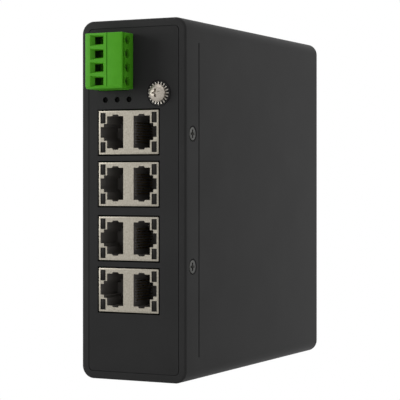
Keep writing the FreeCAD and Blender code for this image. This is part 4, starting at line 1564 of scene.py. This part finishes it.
@dataclass(frozen=True)
class Lamp:
    """One large soft square lamp."""

    name: str
    place: Triple
    target: Triple
    size: float
    power: float

    def build(self) -> None:
        """Hang the lamp."""
        deselect()
        bpy.ops.object.light_add(type="AREA", location=self.place)
        lamp = bpy.context.active_object
        lamp.name = self.name
        lamp.data.shape = "SQUARE"
        lamp.data.size = self.size
        lamp.data.energy = self.power
        aim = Vector(self.target) - Vector(self.place)
        lamp.rotation_euler = aim.to_track_quat("-Z", "Y").to_euler()


@dataclass
class Studio:
    """Pale floor, soft light all round and the camera."""

    yaw: float = 26.614
    place: Triple = (0.27745, -0.5613, 0.0737)
    lens: float = 137.2
    drop: float = -0.0405
    ambient: float = 0.42
    floor_size: float = 8.0
    floor_drop: float = 0.0002
    lamps: tuple[Lamp, ...] = (
        Lamp("side_light", (1.35, 0.85, 0.3), (0.0, 0.0, 0.07), 1.2, 6.5),
        Lamp("top_light", (0.0, 0.1, 1.3), (0.0, 0.0, 0.07), 1.2, 7.0),
        Lamp("left_light", (-0.95, -0.6, 0.26), (0.0, 0.0, 0.03), 0.45, 8.0),
    )

    def world(self) -> None:
        """White all round for the eye, and an even soft light for the surfaces."""
        world = bpy.data.worlds.new("studio")
        bpy.context.scene.world = world
        tree = blank(world)
        lit, white = (add_node(tree, "Background", {"Color": (1, 1, 1, 1), "Strength": strength})
                      for strength in (self.ambient, 1.0))
        add_node(tree, "OutputWorld", {"Surface": white_to_eye(tree, lit, white)})

    def floor(self) -> None:
        """Plain pale floor: white to the eye and in reflections, pale diffuse grey to light."""
        deselect()
        bpy.ops.mesh.primitive_plane_add(size=self.floor_size, location=(0, 0, -self.floor_drop))
        floor = settle(bpy.context.active_object)
        floor.name = "floor"
        material = bpy.data.materials.new("pale_floor")
        tree = blank(material)
        lit = add_node(tree, "BsdfDiffuse", {"Color": (0.9, 0.9, 0.9, 1)})
        white = add_node(tree, "Emission", {"Color": (1, 1, 1, 1), "Strength": 1.0})
        add_node(tree, "OutputMaterial", {"Surface": white_to_eye(tree, lit, white)})
        floor.data.materials.append(material)

    def camera(self) -> None:
        """Level camera to the right of the front."""
        deselect()
        bpy.ops.object.camera_add(location=self.place,
                                  rotation=(math.pi / 2, 0, math.radians(self.yaw)))
        camera = bpy.context.active_object
        camera.data.sensor_width = 36.0
        camera.data.lens = self.lens
        camera.data.shift_y = self.drop
        camera.data.clip_start = 0.01
        bpy.context.scene.camera = camera

    def build(self) -> None:
        """Build the studio."""
        self.camera()
        self.world()
        self.floor()
        for lamp in self.lamps:
            lamp.build()
        bpy.context.scene.view_settings.view_transform = "Standard"


def main() -> None:
    """Build every sub-assembly in order."""
    logging.basicConfig(level=logging.INFO, format="%(name)s %(message)s", stream=sys.stdout)
    Studio().build()
    case = Case()
    case.build()
    GroundTerminal().build()
    for number in range(1, 5):
        TwoPortJack(number).build()
    TerminalPlug().build()
    StatusLights(case).build()
    RailClip().build()
    dress_inner_parts()


if __name__ == "__main__":
    main()
